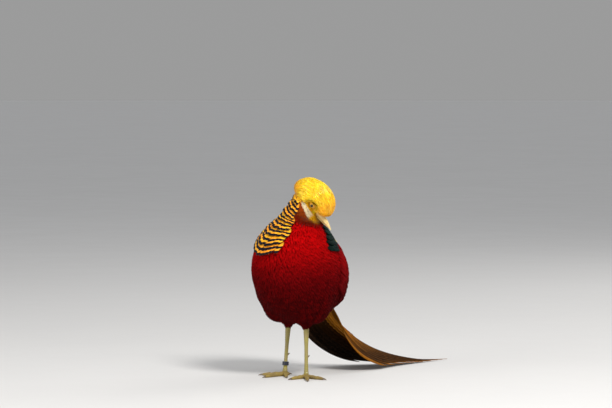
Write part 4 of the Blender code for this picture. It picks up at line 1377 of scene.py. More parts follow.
    def brow(self, gold: Material, rng: Random) -> Piece:
        """Short feathers in the hollow round each eye, where the crest runs into the face.

        Args:
            gold: the crest's material.
            rng: the seeded source.

        Returns:
            One piece.
        """
        count = self.brow_count
        ahead, up = rng.uniform(-10, 24, count), rng.uniform(-2, 22, count)
        side = np.where(np.arange(count) % 2, 1.0, -1.0)
        start = BIRD.head_point(ahead, side * 21, up)
        roots = drape(start, -1.9 * MM, self.field, 6)
        eye = np.where(side[:, None] > 0, *(BIRD.eye_centre(s) for s in Side))
        local = BIRD.head_local(roots)
        keep = (np.linalg.norm(roots - eye, axis=1) > 6.2 * MM) & (local[:, 2] > 4 - 0.22 * local[:, 0])
        keep &= np.abs(local[:, 1]) > 8
        roots, side, local = roots[keep], side[keep], local[keep]
        ways = (-BIRD.head[0] - 0.35 * BIRD.head[2] * smooth(-local[:, :1], -12, 0)
                + 0.10 * rng.standard_normal(roots.shape))
        n = len(roots)
        vane = Vane(5, 3, (0.4, 1.0, 0.9, 0.2), 0.08, 0.22 * MM)
        shapes = laid(vane, roots, ways, rng.uniform(3.4, 6.0, n) * MM, rng.uniform(0.45, 0.75, n) * MM,
                      -2.3 * MM, rng.uniform(-1.8, -1.0, n) * MM, self.field, rng.uniform(-0.4, 0.4, n))
        tint = varied(mixed(Hue.FACE, Hue.GOLD, rng.random(n)), rng, 0.1)
        corner = pairs(0.5 + side * (0.2 + local[:, 2] / 150), 0.5 - local[:, 0] / 100)
        LOG.info("brow feathers: %d", n)
        return feathers("crest_brow", vane, shapes, gold, tint, small_patch(corner))

    def nape(self, gold: Material, rng: Random) -> Piece:
        """Longer locks on the back of the head that fall over the cape's first feathers.

        Args:
            gold: the crest's material.
            rng: the seeded source.

        Returns:
            One piece.
        """
        count = self.nape_count
        ahead, up = rng.uniform(-27, -12, count), rng.uniform(2, 16, count)
        across = rng.uniform(-16, 16, count)
        roots = drape(BIRD.head_point(ahead, across, up), 0.4 * MM, BIRD.flesh, 5)
        ways = -BIRD.head[0] * 0.5 + DOWN_NECK + 0.12 * rng.standard_normal((count, 3))
        shapes = laid(self.lock, roots, ways, rng.uniform(7, 12, count) * MM,
                      rng.uniform(0.8, 1.2, count) * MM, 0.4 * MM,
                      rng.uniform(2.6, 4.2, count) * MM, BIRD.flesh, rng.uniform(-1, 1, count))
        tint = varied(mixed(Hue.DEEP_GOLD, Hue.GOLD, rng.random(count)), rng, 0.1)
        return feathers("crest_fringe", self.lock, shapes, gold, tint, body_patch(roots))


@dataclass
class Cape:
    """The cape: square-ended orange feathers in tiers, each with two blue-black bars."""

    tiers: int = 8
    first: float = -0.33
    run: float = 1.16
    reach: float = 0.235
    seed: int = 11
    vane: Vane = Vane(11, 7, (0.55, 0.85, 1.0, 1.0, 1.0, 0.92, 0.74), 0.03, 0.35 * MM, 0.5 * MM)

    def point(self, t: Array, psi: Array, height: Array) -> Array:
        """A point over neck and shoulders, draped from a cone that widens downwards.

        Args:
            t: share of the way from the nape to the lowest edge.
            psi: degrees round from the front to the left.
            height: height over the skin.

        Returns:
            Positions.
        """
        t = t * (1 - 0.52 * np.clip((-psi - 62) / 150, 0, 1))
        top, foot = MIDWAY + np.array([22, -13, 282]) * MM, MIDWAY + np.array([6, -20, 198]) * MM
        centre = top + t[..., None] * (foot - top)
        radius = (20 + 18 * t + 20 * t ** 2) * MM
        axis = unit(-DOWN_NECK)
        a = np.radians(psi)
        flat = np.stack([np.sin(a), -np.cos(a), np.zeros_like(a)], -1)
        flat = unit(flat - (flat @ axis)[..., None] * axis)
        return drape(centre + radius[..., None] * flat, height, BIRD.skin)

    def place(self, t: Array, v: Array, height: Array) -> Array:
        """A point between the cape's front edge and its far one, raised where the tiers lie thick.

        Args:
            t: share of the way down.
            v: share of the way round.
            height: height over the cape's own base.

        Returns:
            Positions.
        """
        c = np.clip(t, 0, 1)
        one = 12 + 12 * c - 18 * c ** 3
        two = -205 - 33 * np.clip(c / 0.4, 0, 1) + 8 * np.clip((c - 0.4) / 0.6, 0, 1)
        lift = (1.5 + 1.3 * np.clip((t - 0.45) / 0.3, 0, 1)) * MM
        psi = one + (two - one) * v
        short = 1 - (0.18 * smooth(-psi, 34, 78) + 0.12 * smooth(psi, -34, 12)) * smooth(t, 0.3, 1.0)
        tilt = 0.15 * np.clip((psi + 60) / 72, 0, 1) * (1 - smooth(t, 0.0, 0.55))
        return self.point(t * short + tilt, psi, lift + height)

    def build(self) -> list[Piece]:
        """Makes the tiers.

        Returns:
            One piece.
        """
        rng = np.random.default_rng(self.seed)
        roots, tips, counts = [], [], []
        for k in range(self.tiers):
            t = self.first + self.run * k / (self.tiers - 1)
            count = int(15 + 19 * k / (self.tiers - 1))
            j = np.arange(count)
            v = (j + 0.5 + 0.25 * (-1) ** k) / count * 0.985 + 0.008
            roots.append(pairs(t + rng.uniform(-0.010, 0.010, count), v))
            tips.append(pairs(t + self.reach + rng.uniform(-0.020, 0.020, count),
                              v + rng.uniform(-0.007, 0.007, count)))
            counts.append(count)
        root, tip, number = np.concatenate(roots), np.concatenate(tips), numbered(counts)
        low = -1.4 * MM + 0.25 * MM * (number % 2)
        shapes = placed(self.vane, self.place, root, tip, 0.66 / np.repeat(counts, counts), low,
                        1.9 * MM + 0.3 * MM * (number % 2), 0.0, 0.9)
        tint = varied(mixed(Hue.ORANGE, Hue.GOLD, rng.uniform(0.1, 0.85, len(root))), rng, 0.08)
        finish = FeatherFinish("cape_barred", 0.45, gloss=0.12, root=0.55, root_shade_end=0.35, barbs=0.22,
                               count=160.0, slant=60.0, second=Hue.NIGHT, bars=((0.43, 0.64), (0.79, 1.0)),
                               wobble=0.06, streak=0.3, streak_colour=(1.0, 0.66, 0.12)).material()
        obj = feathers("cape_feathers", self.vane, shapes, finish, tint, tier_patch(counts))
        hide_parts("cape")
        LOG.info("cape feathers: %d", len(root))
        return [obj]


class BackPart(Enum):
    """The two layers on the back."""

    MANTLE = "mantle"
    RUMP = "rump"


@dataclass
class Back:
    """The green black-edged mantle and the golden silky rump."""

    seed: int = 13
    scale: Vane = Vane(8, 7, (0.5, 0.85, 1.0, 1.0, 0.88, 0.45), 0.03, 0.25 * MM, 0.15 * MM)
    silk: Vane = Vane(6, 5, (0.4, 0.85, 1.0, 0.85, 0.25), 0.16, 0.30 * MM)

    def tiers(self, name: BackPart, first: float, last: float, half: tuple[float, float], rows: int,
              pitch: float, length: float, vane: Vane, finish: Material,
              tint: tuple[Colour, Colour], high: float, curve: float = 0.0,
              loose: float = 0.0) -> Piece:
        """Feathers in staggered rows from first to last along the back, as wide as the half angles.

        Every second row is moved by half a step.

        Args:
            name: the layer.
            first: degrees along of the first row.
            last: degrees along of the last row.
            half: half angle of the first and of the last row.
            rows: how many rows.
            pitch: millimetres between feathers in a row.
            length: degrees along that a feather covers.
            vane: the feather's shape.
            finish: the material.
            tint: the two colours it varies between.
            high: height of the tips.
            curve: how far the outer ends lie back, in degrees.
            loose: how far roots stray, as a share of a step.

        Returns:
            One piece.
        """
        rng = np.random.default_rng(self.seed)
        roots, counts = [], []
        for k in range(rows):
            share = k / (rows - 1)
            along = first + (last - first) * share
            reach = half[0] + (half[1] - half[0]) * share
            across = 2 * np.radians(reach) * 72 * math.cos(math.radians(along))
            count = max(4, int(across / pitch))
            j = np.arange(count)
            side = reach * (2 * (j + 0.5 + 0.25 * (-1) ** k) / count - 1)
            side = side + loose * rng.uniform(-1, 1, count) * 2 * reach / count
            stray = loose * rng.uniform(-1, 1, count) * abs(last - first) / rows
            roots.append(pairs(along - curve * (side / 78) ** 2 + stray, side))
            counts.append(count)
        root, number = np.concatenate(roots), numbered(counts)
        tip = root + pairs(-length * rng.uniform(0.9, 1.1, len(root)), rng.uniform(-1, 1, len(root)))
        tip[:, 1] *= 0.97
        half_width = 0.62 * pitch / 72 / np.cos(np.radians(root[:, 0])) * 57.3
        shapes = placed(vane, BIRD.trunk_point, root, tip, half_width, -0.9 * MM + 0.25 * MM * (number % 2),
                        high + 0.35 * MM * (number % 2), 0.0, 0.8)
        colours = varied(mixed(*tint, rng.random(len(root))), rng, 0.10)
        obj = feathers(name.value + "_feathers", vane, shapes, finish, colours, tier_patch(counts))
        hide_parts(name.value)
        LOG.info("%s feathers: %d", name.value, len(root))
        return obj

    def build(self) -> list[Piece]:
        """Makes both layers.

        Returns:
            Rump and mantle.
        """
        green = FeatherFinish("mantle_scales", 0.55, gloss=0.03, root=0.5, barbs=0.3, count=110.0,
                              second=Hue.NIGHT, rim=0.42).material()
        gold = FeatherFinish("rump_silk", 0.45, root=0.6, barbs=0.14, count=70.0, slant=120.0, streak=0.5,
                             bump=0.1, streak_colour=(1.0, 0.82, 0.25)).material()
        return [
            self.tiers(BackPart.RUMP, 12, -62, (44, 36), 17, 5.0, 13, self.silk, gold,
                       (Hue.GOLD, Hue.PALE_GOLD), 3.6 * MM, loose=0.36),
            self.tiers(BackPart.MANTLE, 36, 22, (73, 62), 6, 7.6, 11, self.scale, green,
                       (Hue.GREEN, (0.001, 0.019, 0.011)), 3.6 * MM, 13.0, 0.08),
        ]


@dataclass
class Wing:
    """One folded wing: flight feathers, coverts, blue inner feathers and crimson shoulder feathers."""

    side: Side
    seed: int = 17
    flight: Vane = Vane(16, 7, (0.7, 1.0, 1.0, 1.0, 0.95, 0.75, 0.3), 0.0, 0.5 * MM, 0.2 * MM)
    covert: Vane = Vane(8, 7, (0.5, 0.9, 1.0, 1.0, 0.85, 0.4), 0.0, 0.4 * MM, 0.2 * MM)
    long: Vane = Vane(10, 5, (0.4, 0.8, 1.0, 0.9, 0.65, 0.2), 0.06, 0.4 * MM, 0.2 * MM)

    def place(self, s: Array, w: Array, height: Array) -> Array:
        """A point on the folded wing, whose two edges draw together towards the tip.

        Args:
            s: share of the way from the shoulder to the tip.
            w: share of the way from the upper to the lower edge.
            height: height over the skin.

        Returns:
            Positions.
        """
        along = (-8 - 20 * w) * (1 - s) - 72 * s
        rear = np.maximum(s - 0.45, 0)
        upper = 48 - 20 * rear
        lower = 90 + 8 * np.sin(math.pi * np.clip(s * 1.15, 0, 1)) - 44 * rear
        return BIRD.trunk_point(along, self.side * (upper + (lower - upper) * w), height)

    def row(self, name: str, vane: Vane, finish: Material, root: Array, tip: Array, width: float,
            low: float, high: float, tint: Array, rng: Random, power: float = 1.0) -> Piece:
        """One row of the wing.

        Args:
            name: the end of the piece's name.
            vane: the feather's shape.
            finish: the material.
            root: n by 2 coordinates of the roots.
            tip: n by 2 coordinates of the tips.
            width: half width in the second coordinate.
            low: height of the roots.
            high: height of the tips.
            tint: n by 3 colours.
            rng: the seeded source.
            power: how late the height rises.

        Returns:
            One piece.
        """
        count = len(root)
        j = np.arange(count)
        shapes = placed(vane, self.place, root, tip, width, low + 0.12 * MM * j / count,
                        high + 0.3 * MM * (j % 2), 0.0, power)
        return feathers(f"wing_{self.side.label}_{name}", vane, shapes, finish, varied(tint, rng, 0.08),
                        tier_patch([count]))

    def build(self) -> list[Piece]:
        """Makes the rows from the innermost layer outwards.

        Returns:
            Eleven pieces, the flight feathers first.
        """
        rng = np.random.default_rng(self.seed + self.side)
        barred = FeatherFinish("flight_barred", 0.5, root=0.7, barbs=0.25, count=260.0, slant=90.0,
                               shaft=0.5, second=Hue.BUFF,
                               bars=tuple((0.3 + 0.1 * k, 0.335 + 0.1 * k) for k in range(7)), wobble=0.05)
        chest = FeatherFinish("covert_chestnut", 0.45, root=0.5, barbs=0.25, count=120.0, shaft=0.35,
                              second=Hue.BLACK, rim=0.22)
        blue = FeatherFinish("inner_blue", 0.34, 0.3, root=0.6, barbs=0.25, count=160.0, second=Hue.BLACK,
                             rim=0.25)
        red = FeatherFinish("shoulder_crimson", 0.5, root=0.5, barbs=0.3, count=120.0, streak=0.3,
                            streak_colour=(0.7, 0.06, 0.02))
        soft = FeatherFinish("wing_front_red", 0.85, gloss=0.02, root=0.75, barbs=0.3, count=120.0,
                             streak=0.2, streak_colour=(0.5, 0.006, 0.010))
        made = []
        n = 9
        w = np.linspace(0.16, 0.93, n)
        made.append(self.row("flight", self.flight, barred.material(), pairs(0.34, w),
                             pairs(0.90 + 0.12 * w, w - 0.03), 0.062, 1.7 * MM, 3.0 * MM,
                             np.repeat([Hue.BROWN], n, 0), rng))
        cover = ((0.26, 0.62, 9, 3.9), (0.12, 0.44, 9, 4.3), (-0.02, 0.26, 8, 4.7))
        for k, (start, end, n, lift) in enumerate(cover):
            w = np.linspace(0.10, 0.88, n) + 0.02 * (-1) ** k
            made.append(self.row(f"coverts_{k}", self.covert, chest.material(), pairs(start, w),
                                 pairs(end + rng.uniform(-0.01, 0.01, n), w - 0.01), 0.062, 0.4 * MM,
                                 lift * MM, mixed(Hue.CHESTNUT, Hue.MAROON, rng.random(n)), rng))
        w = np.array([0.20, 0.15, 0.24, 0.18])
        s = np.array([0.20, 0.32, 0.38, 0.48])
        made.append(self.row("inner", self.flight, blue.material(), pairs(s, w), pairs(s + 0.36, w), 0.075,
                             2.0 * MM, 4.4 * MM, np.repeat([Hue.BLUE], len(s), 0), rng))
        n = 16
        s = np.linspace(-0.06, 0.50, n)
        w = 0.07 + 0.09 * (np.arange(n) % 3) - 0.06 * s
        made.append(self.row("shoulder", self.long, red.material(), pairs(s, w),
                             pairs(s + rng.uniform(0.26, 0.34, n), w * 0.9), 0.055, 2.2 * MM, 5.0 * MM,
                             mixed(Hue.SCARLET, Hue.CRIMSON, rng.random(n)), rng))
        # These rows take body_hue's colour, its painted shade included, to blend with the breast.
        for k, ahead in enumerate((-0.28, -0.16, -0.04)):
            n = 26
            w = np.linspace(-0.06, 1.20, n)
            s = ahead - 0.16 * w + rng.uniform(-0.05, 0.05, n)
            tint = body_hue(self.place(s + 0.25, w, 0 * w))
            made.append(self.row(f"front_{k}", self.long, soft.material(), pairs(s, w),
                                 pairs(s + rng.uniform(0.30, 0.36, n), w - 0.02), 0.050, -2.0 * MM,
                                 (4.2 + 0.6 * k) * MM, tint, rng, 0.45))
        for k, (start, end) in enumerate(((1.16, 0.84), (1.22, 0.98))):
            n = 26
            s = np.linspace(-0.16, 0.80, n) + rng.uniform(-0.01, 0.01, n)
            tint = body_hue(self.place(s + 0.12, np.full(n, 1.05), 0 * s))
            made.append(self.row(f"tuck_{k}", self.long, soft.material(), pairs(s, start),
                                 pairs(s + rng.uniform(0.22, 0.28, n), end + rng.uniform(-0.03, 0.03, n)),
                                 0.062, 0.2 * MM, (5.2 - 2.2 * k) * MM, tint, rng))
        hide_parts(f"wing_{self.side.label}")
        return made


@dataclass
class Tail:
    """The long roof-shaped tail, its mottled middle feathers, barred side feathers and orange-red coverts."""

    seed: int = 19
    line: Array = field(default_factory=lambda: MIDWAY + MM * np.array([
        [-2, 76, 122], [-4, 94, 101], [-4, 118, 74], [8, 150, 46], [24, 188, 24], [41, 232, 11],
        [60, 285, 2.5], [74, 325, 0.6], [84, 352, 0.3]]))
    half: Array = field(default_factory=lambda: MM * np.array([26, 38, 54, 60, 54, 36, 17, 6, 1.5]))
    vane: Vane = Vane(34, 9, (0.75, 0.95, 1.0, 1.0, 1.0, 0.92, 0.78, 0.5, 0.08), 0.0, 0.45 * MM, 0.25 * MM)
    spike: Vane = Vane(12, 5, (0.6, 0.9, 1.0, 0.85, 0.6, 0.3, 0.06), 0.0, 0.35 * MM)

    def smooth_line(self, values: Array, t: Array) -> Array:
        """A curve through the stations: cubic between them, its slope half the step from before to after.

        Args:
            values: a row for each station.
            t: share of the way along.

        Returns:
            A row for each t.
        """
        n = len(values)
        x = np.clip(t, 0, 1) * (n - 1)
        i = np.clip(np.floor(x).astype(int), 0, n - 2)
        f = (x - i)[..., None]
        p = np.asarray(values, float).reshape(n, -1)
        tangent = np.gradient(p, axis=0)
        a, b, ta, tb = p[i], p[i + 1], tangent[i], tangent[i + 1]
        h = f * f * (3 - 2 * f)
        return a * (1 - h) + b * h + ta * f * (1 - f) ** 2 - tb * f * f * (1 - f)

    def place(self, t: Array, v: Array, height: Array) -> Array:
        """A point on the roof, whose sides fall by 0.70 of the half width times v to the power 1.4.

        Args:
            t: share of the way along.
            v: share of the half width, left positive.
            height: height over the roof.

        Returns:
            Positions.
        """
        t, v = np.broadcast_arrays(np.asarray(t, float), np.asarray(v, float))
        tangents = unit(np.gradient(self.line, axis=0))
        left = -unit(np.cross([0, 0, 1.0], tangents))
        up = np.cross(tangents, left)
        up = up * np.sign(up[:, 2:3])
        middle, out = self.smooth_line(self.line, t), unit(self.smooth_line(left, t))
        rise, half = unit(self.smooth_line(up, t)), self.smooth_line(self.half, t)[..., 0]
        points = middle + (half * v)[..., None] * out
        points = points + (0.18 * half - 0.70 * half * np.abs(v) ** 1.4 + height)[..., None] * rise
        points[..., 2] = np.maximum(points[..., 2], 0.5 * (height + 1.3 * MM))
        return points

    def build(self) -> list[Piece]:
        """Makes the long feathers in pairs and the coverts over their roots.

        Returns:
            Middle and side feathers and the coverts.
        """
        rng = np.random.default_rng(self.seed)
        web = FeatherFinish("tail_barred", 0.85, gloss=0.015, root=0.85, barbs=0.22, count=620.0, slant=150.0,
                            shaft=0.15, mottle=0.42, mottle_colour=(0.13, 0.036, 0.003),
                            second=Hue.AMBER, rim=0.30)
        dark = FeatherFinish("tail_dark_shaded_side", 0.85, gloss=0.015, root=0.85, barbs=0.22, count=620.0, slant=150.0,
                             mottle=0.45, mottle_colour=Hue.BROWN)
        red = FeatherFinish("covert_orange", 0.8, gloss=0.03, root=0.8, barbs=0.25, count=160.0, streak=0.25,
                            streak_colour=(0.50, 0.14, 0.010))
        ends = (1.0, 0.95, 0.90, 0.84, 0.78, 0.72, 0.66, 0.60, 0.54)
        made = []
        both = [(j, side) for j in range(9) for side in (-1, 1)]
        barred = [(j, side) for j, side in both if j < 3 or side > 0 or j == 3]
        for name, finish, chosen in (("tail_middle", web, barred),
                                     ("tail_side_shaded", dark, [p for p in both if p not in barred])):
            root, tip, high, tint = [], [], [], []
            for j, side in chosen:
                v = side * (0.05 + 0.093 * j)
                root.append((0.02, v * 0.96))
                tip.append((ends[j], v * (1.0 - 0.008 * j)))
                high.append(1.5 - 0.28 * j)
                # painted shade: the outer feathers of the bird's right half are black, darker than the left
                # half's umber and amber, so the underside seen from the front reads shaded
                outer = Hue.BLACK if j > 5 and side < 0 else Hue.UMBER
                tint.append(Hue.AMBER if j > 7 and side > 0 else outer)
            root, tip, high = np.array(root), np.array(tip), np.array(high) * MM
            shapes = placed(self.vane, self.place, root, tip, 0.098, high - 0.4 * MM, high)
            s = np.linspace(0, 1, self.vane.rows)
            # painted light: near the root the feathers are brightened to honey, standing for sunlight on
            # them; towards the tip the amber is the feathers' own cinnamon end
            near = (1 - smooth(s, 0.20, 0.46))[:, None]
            root_light_and_tip_hue = near * np.array(Hue.LIT_HONEY) + (1 - near) * np.array(Hue.AMBER)
            root_light_and_tip_share = (1 - smooth(s, 0.26, 0.66) + smooth(s, 0.84, 1.0))[None, :, None]
            # painted shade: the right half's outer feathers take only a tenth of the honey and amber
            root_light_and_tip_share = root_light_and_tip_share * np.array([0.85 if side > 0 or j < 3 else 0.1 for j, side in chosen])[:, None, None]
            tint = varied(np.array(tint), rng, 0.1)[:, None]
            tint = tint * (1 - root_light_and_tip_share) + root_light_and_tip_share * root_light_and_tip_hue
            made.append(feathers(name, self.vane, shapes, finish.material(), tint, tier_patch([len(root)])))
        count = 22
        v = np.linspace(-0.60, 0.60, count)
        root = pairs(rng.uniform(-0.02, 0.05, count), v)
        tip = pairs(rng.uniform(0.28, 0.42, count) + 0.10 * np.abs(v), v * 1.02)
        width = rng.uniform(0.045, 0.06, count)
        shapes = placed(self.spike, self.place, root, tip, width, 1.8 * MM, 2.6 * MM)
        tint = mixed((0.40, 0.09, 0.006), Hue.AMBER, np.clip(rng.random(count) + v, 0, 1))
        coverts = feathers("tail_covert_feathers", self.spike, shapes, red.material(), varied(tint, rng, 0.1),
                           tier_patch([count]))
        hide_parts("tail")
        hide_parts("tail_coverts")
        return [*made, coverts]


@dataclass
class Bill:
    """The two halves of the horn bill, with a cutting edge, a nostril under its flap, and a hooked tip."""

    rows: int = 40
    turns: int = 28

    def heights(self, x: Array) -> tuple[Array, Array, Array, Array]:
        """Half width, ridge, mouth and floor in millimetres at a distance ahead of the eyes.

        Args:
            x: millimetres ahead of the eyes.

        Returns:
            Half width, ridge, mouth and floor.
        """
        s = np.clip((x - 13) / 39.5, 0, 1)
        width = 6.8 * (1 - s) ** 0.6 + 0.35
        lift = 2.2 * (1 - s)
        return (width, lift + 5.0 - 1.8 * s - 10.0 * s ** 2.5, lift - 3.6 - 0.4 * s - 3.4 * s ** 2,
                lift - 8.6 + 1.2 * s - 0.6 * s ** 2)

    def build(self) -> list[Piece]:
        """Makes both halves.

        Returns:
            Upper and lower half.
        """
        horn = SkinFinish("bill_sheath", (0.78, 0.61, 0.29), (0.62, 0.42, 0.14), 240, 0.34, 0.15, coat=0.25,
                          subsurface=0.15).material()
        made = []
        for name, upper in (("bill_upper", True), ("bill_lower", False)):
            x = np.linspace(11.0, 52.4 if upper else 46.5, self.rows)[:, None]
            a = circle(self.turns)[None, :]
            width, ridge, mouth, floor = self.heights(x)
            up, low = np.maximum(np.sin(a), 0) ** 0.85, np.maximum(-np.sin(a), 0)
            if upper:
                left = width * np.cos(a)
                high = mouth + np.maximum(ridge - mouth, 0.8) * up + 0.5 * low * np.abs(np.cos(a))
                hole = np.exp(-(((x - 25.5) / 2.6) ** 2 + ((high - 0.4) / 0.9) ** 2))
                left = left - np.sign(left) * 1.3 * hole
            else:
                left = 0.88 * width * np.minimum(1, (50 - x) / 10) * np.cos(a)
                high = mouth - 0.35 - np.maximum(mouth - floor - 0.35, 0.5) * low - 0.3 * up
            sections = BIRD.head_point(x + 0 * a, left, high)
            obj = loft(name, sections, horn)
            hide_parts("beak_upper" if upper else "beak_lower")
            made.append(obj)
        return made


@dataclass
class Eye:
    """An eyeball with pupil and pale iris, and its ring of bare skin."""

    side: Side
    radius: float = 4.2 * MM

    def build(self) -> list[Piece]:
        """Makes the ball and the ring of skin.

        Returns:
            Ball and ring.
        """
        centre = BIRD.eye_centre(self.side)
        sight = unit(self.side * BIRD.head[1] + 0.12 * BIRD.head[0])
        across = unit(np.cross(BIRD.head[2], sight))
        up = np.cross(sight, across)
        label = self.side.label
        rows, turns = 24, 36
        polar = np.linspace(0.02, math.pi - 0.02, rows)[:, None]
        turn = circle(turns)[None, :]
        bulge = 1 + 0.07 * np.exp(-(polar / 0.45) ** 2)
        ball = centre + self.radius * bulge[..., None] * (
            np.cos(polar)[..., None] * sight + (np.sin(polar) * np.cos(turn))[..., None] * across
            + (np.sin(polar) * np.sin(turn))[..., None] * up)
        sight_map = pairs(polar / math.pi * 2, turn / (2 * math.pi)).reshape(-1, 2)
        eye = loft(f"eyeball_{label}", ball, EyeFinish("eyeball").material(), {"Sight": sight_map})
        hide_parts(f"eye_{label}")
        rows, turns = 60, 14
        around = circle(rows)[:, None]
        section = circle(turns)[None, :]
        fold = 0.10 * np.sin(9 * around) * np.sin(section) + 0.05 * np.sin(23 * around)
        long = 3.95 + 0.5 * np.cos(2 * around)
        out = long + (0.75 + 0.35 * np.cos(around) ** 2 + fold) * np.cos(section)
        rise = 1.65 - 0.35 * np.cos(2 * around) + (0.95 + fold) * np.sin(section)
        lid = centre + MM * (rise[..., None] * sight + (out * np.cos(around))[..., None] * across
                             + (out * 0.86 * np.sin(around))[..., None] * up)
        skin = SkinFinish("eye_skin", (0.85, 0.42, 0.03), (0.68, 0.26, 0.015), 900, roughness=0.5, bump=0.5,
                          subsurface=0.2).material()
        ring = loft(f"eye_ring_{label}", lid, skin, ring=True)
        return [eye, ring]


@dataclass
class Leg:
    """One scaly shank with its spur, four toes and claws."""

    side: Side

    def scales(self) -> Material:
        """Yellow-green horn with small scales between the plates."""
        return SkinFinish("leg_scales", Hue.LEG, (0.30, 0.22, 0.09), 420, roughness=0.45, bump=0.45,
                          cells=True, coat=0.1).material()

    def toe_scales(self) -> Material:
        """Browner horn of the toes, worn and dusty."""
        return SkinFinish("toe_scales", (0.34, 0.235, 0.042), (0.20, 0.13, 0.040), 420, roughness=0.55,
                          bump=0.45, cells=True).material()

    def plated(self, line: Array, radii: Array, up: Array, plates: int, step: float, rows: int,
               turns: int) -> Array:
        """A tube with overlapping plates on one side.

        Each plate's radius grows by step along it and drops by 0.6 of a step over its last 7%, both
        strongest towards up.

        Args:
            line: stations of its middle line.
            radii: radius at each station.
            up: the plated side's direction.
            plates: how many plates.
            step: how far a plate stands over the next.
            rows: sections along.
            turns: points round.

        Returns:
            Rows by turns by 3 positions.
        """
        t = np.linspace(0, 1, rows)
        lengths = np.concatenate([[0], np.cumsum(np.linalg.norm(np.diff(line, axis=0), axis=1))])
        stations = lengths / lengths[-1]
        path = np.stack([np.interp(t, stations, line[:, k]) for k in range(3)], -1)
        path[1:-1] = (path[:-2] + 2 * path[1:-1] + path[2:]) / 4
        size = np.interp(t, stations, radii)
        tangent = unit(np.gradient(path, axis=0))
        fore = unit(up - (tangent @ up)[:, None] * tangent)
        across = np.cross(tangent, fore)
        a = circle(turns)[None, :]
        phase = (t * plates)[:, None] % 1.0
        ahead = smooth(np.cos(a), -0.1, 0.7)
        r = size[:, None] + step * (phase - 0.5) * ahead - 0.6 * step * (phase > 0.93) * ahead
        return (path[:, None] + (r * np.cos(a))[..., None] * fore[:, None]
                + (r * np.sin(a))[..., None] * across[:, None])

    def build(self) -> list[Piece]:
        """Makes shank, toes and claws.

        Returns:
            Shank, spur, toes with claws, and pad.
        """
        label = self.side.label
        foot, hock = (BIRD.feet[0], BIRD.hocks[0]) if self.side > 0 else (BIRD.feet[1], BIRD.hocks[1])
        scales, worn, upright = self.scales(), self.toe_scales(), np.array([0, 0, 1.0])
        claw = SkinFinish("claw_horn", (0.10, 0.065, 0.035), (0.20, 0.14, 0.08), 300, roughness=0.35,
                          coat=0.3).material()
        ankle, top = foot + [0, 0.001, 0.0068], hock + [0, 0, -0.0003]
        stations = np.array([0.0, 0.06, 0.4, 0.75, 0.95, 1.0])
        line = np.array([top + (ankle - top) * s for s in stations])
        radii = MM * np.array([4.9, 4.4, 3.0, 2.9, 3.5, 4.1])
        sections = self.plated(line, radii, np.array([0, -1.0, 0.1]), 19, 0.55 * MM, 150, 20)
        shank = loft(f"shank_scales_{label}", sections, scales)
        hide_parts(f"shank_{label}")
        base = hock * 0.42 + foot * 0.58
        s = np.linspace(0, 1, 9)[:, None]
        spur_line = base + MM * (s * np.array([0, 11.0, 0]) + s ** 2 * np.array([0, 0.2, 2.2]))
        spur_radii = MM * (0.25 + 2.45 * (1 - s[:, 0]) ** 0.9)
        spur = loft(f"spur_{label}", self.plated(spur_line, spur_radii, upright, 1, 0.0, 16, 12), claw)
        made = [shank, spur]
        yaws = (((82, 34), (36, 41), (-16, 30), (-150, 12)) if self.side > 0
                else ((-62, 34), (-14, 41), (38, 32), (178, 12)))
        for k, (yaw, length) in enumerate(yaws):
            a = math.radians(yaw)
            way = np.array([math.sin(a), -math.cos(a), 0])
            s = np.array([0, 0.3, 0.42, 0.62, 0.72, 1.0, 1.05])
            radii = MM * np.array([3.9, 3.0, 3.3, 2.5, 2.9, 2.1, 1.5])
            toe_line = foot + (s * length * MM)[:, None] * way
            toe_line[:, 2] = radii * 0.95 + 0.10 * MM
            toe_line[0, 2] = 4.1 * MM
            toe = self.plated(toe_line, radii, upright, max(4, length // 3), 0.45 * MM, 70, 16)
            made.append(loft(f"toe_{k}_{label}", over_floor(toe), worn))
            tip = foot + (length * MM) * way + 2.0 * MM * upright
            reach = np.linspace(-0.12, 1, 12)[:, None]
            curve = tip + 9 * MM * reach * way + MM * upright * (0.9 * reach - 2.3 * reach ** 2)
            size = MM * 1.55 * (1 - np.clip(reach[:, 0], 0, 1)) ** 0.7 + 0.16 * MM
            nail = self.plated(curve, size, upright, 1, 0.0, 20, 12)
            made.append(loft(f"claw_{k}_{label}", over_floor(nail), claw))
        turn = circle(28)[None, :]
        polar = np.linspace(0.05, math.pi - 0.05, 16)[:, None]
        pad = foot + MM * np.stack([6.3 * np.sin(polar) * np.cos(turn), 6.3 * np.sin(polar) * np.sin(turn),
                                    3.6 + 3.5 * np.cos(polar) + 0 * turn], -1)
        ball = loft(f"foot_pad_{label}", over_floor(pad), worn)
        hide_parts(f"foot_{label}")
        return [*made, ball]


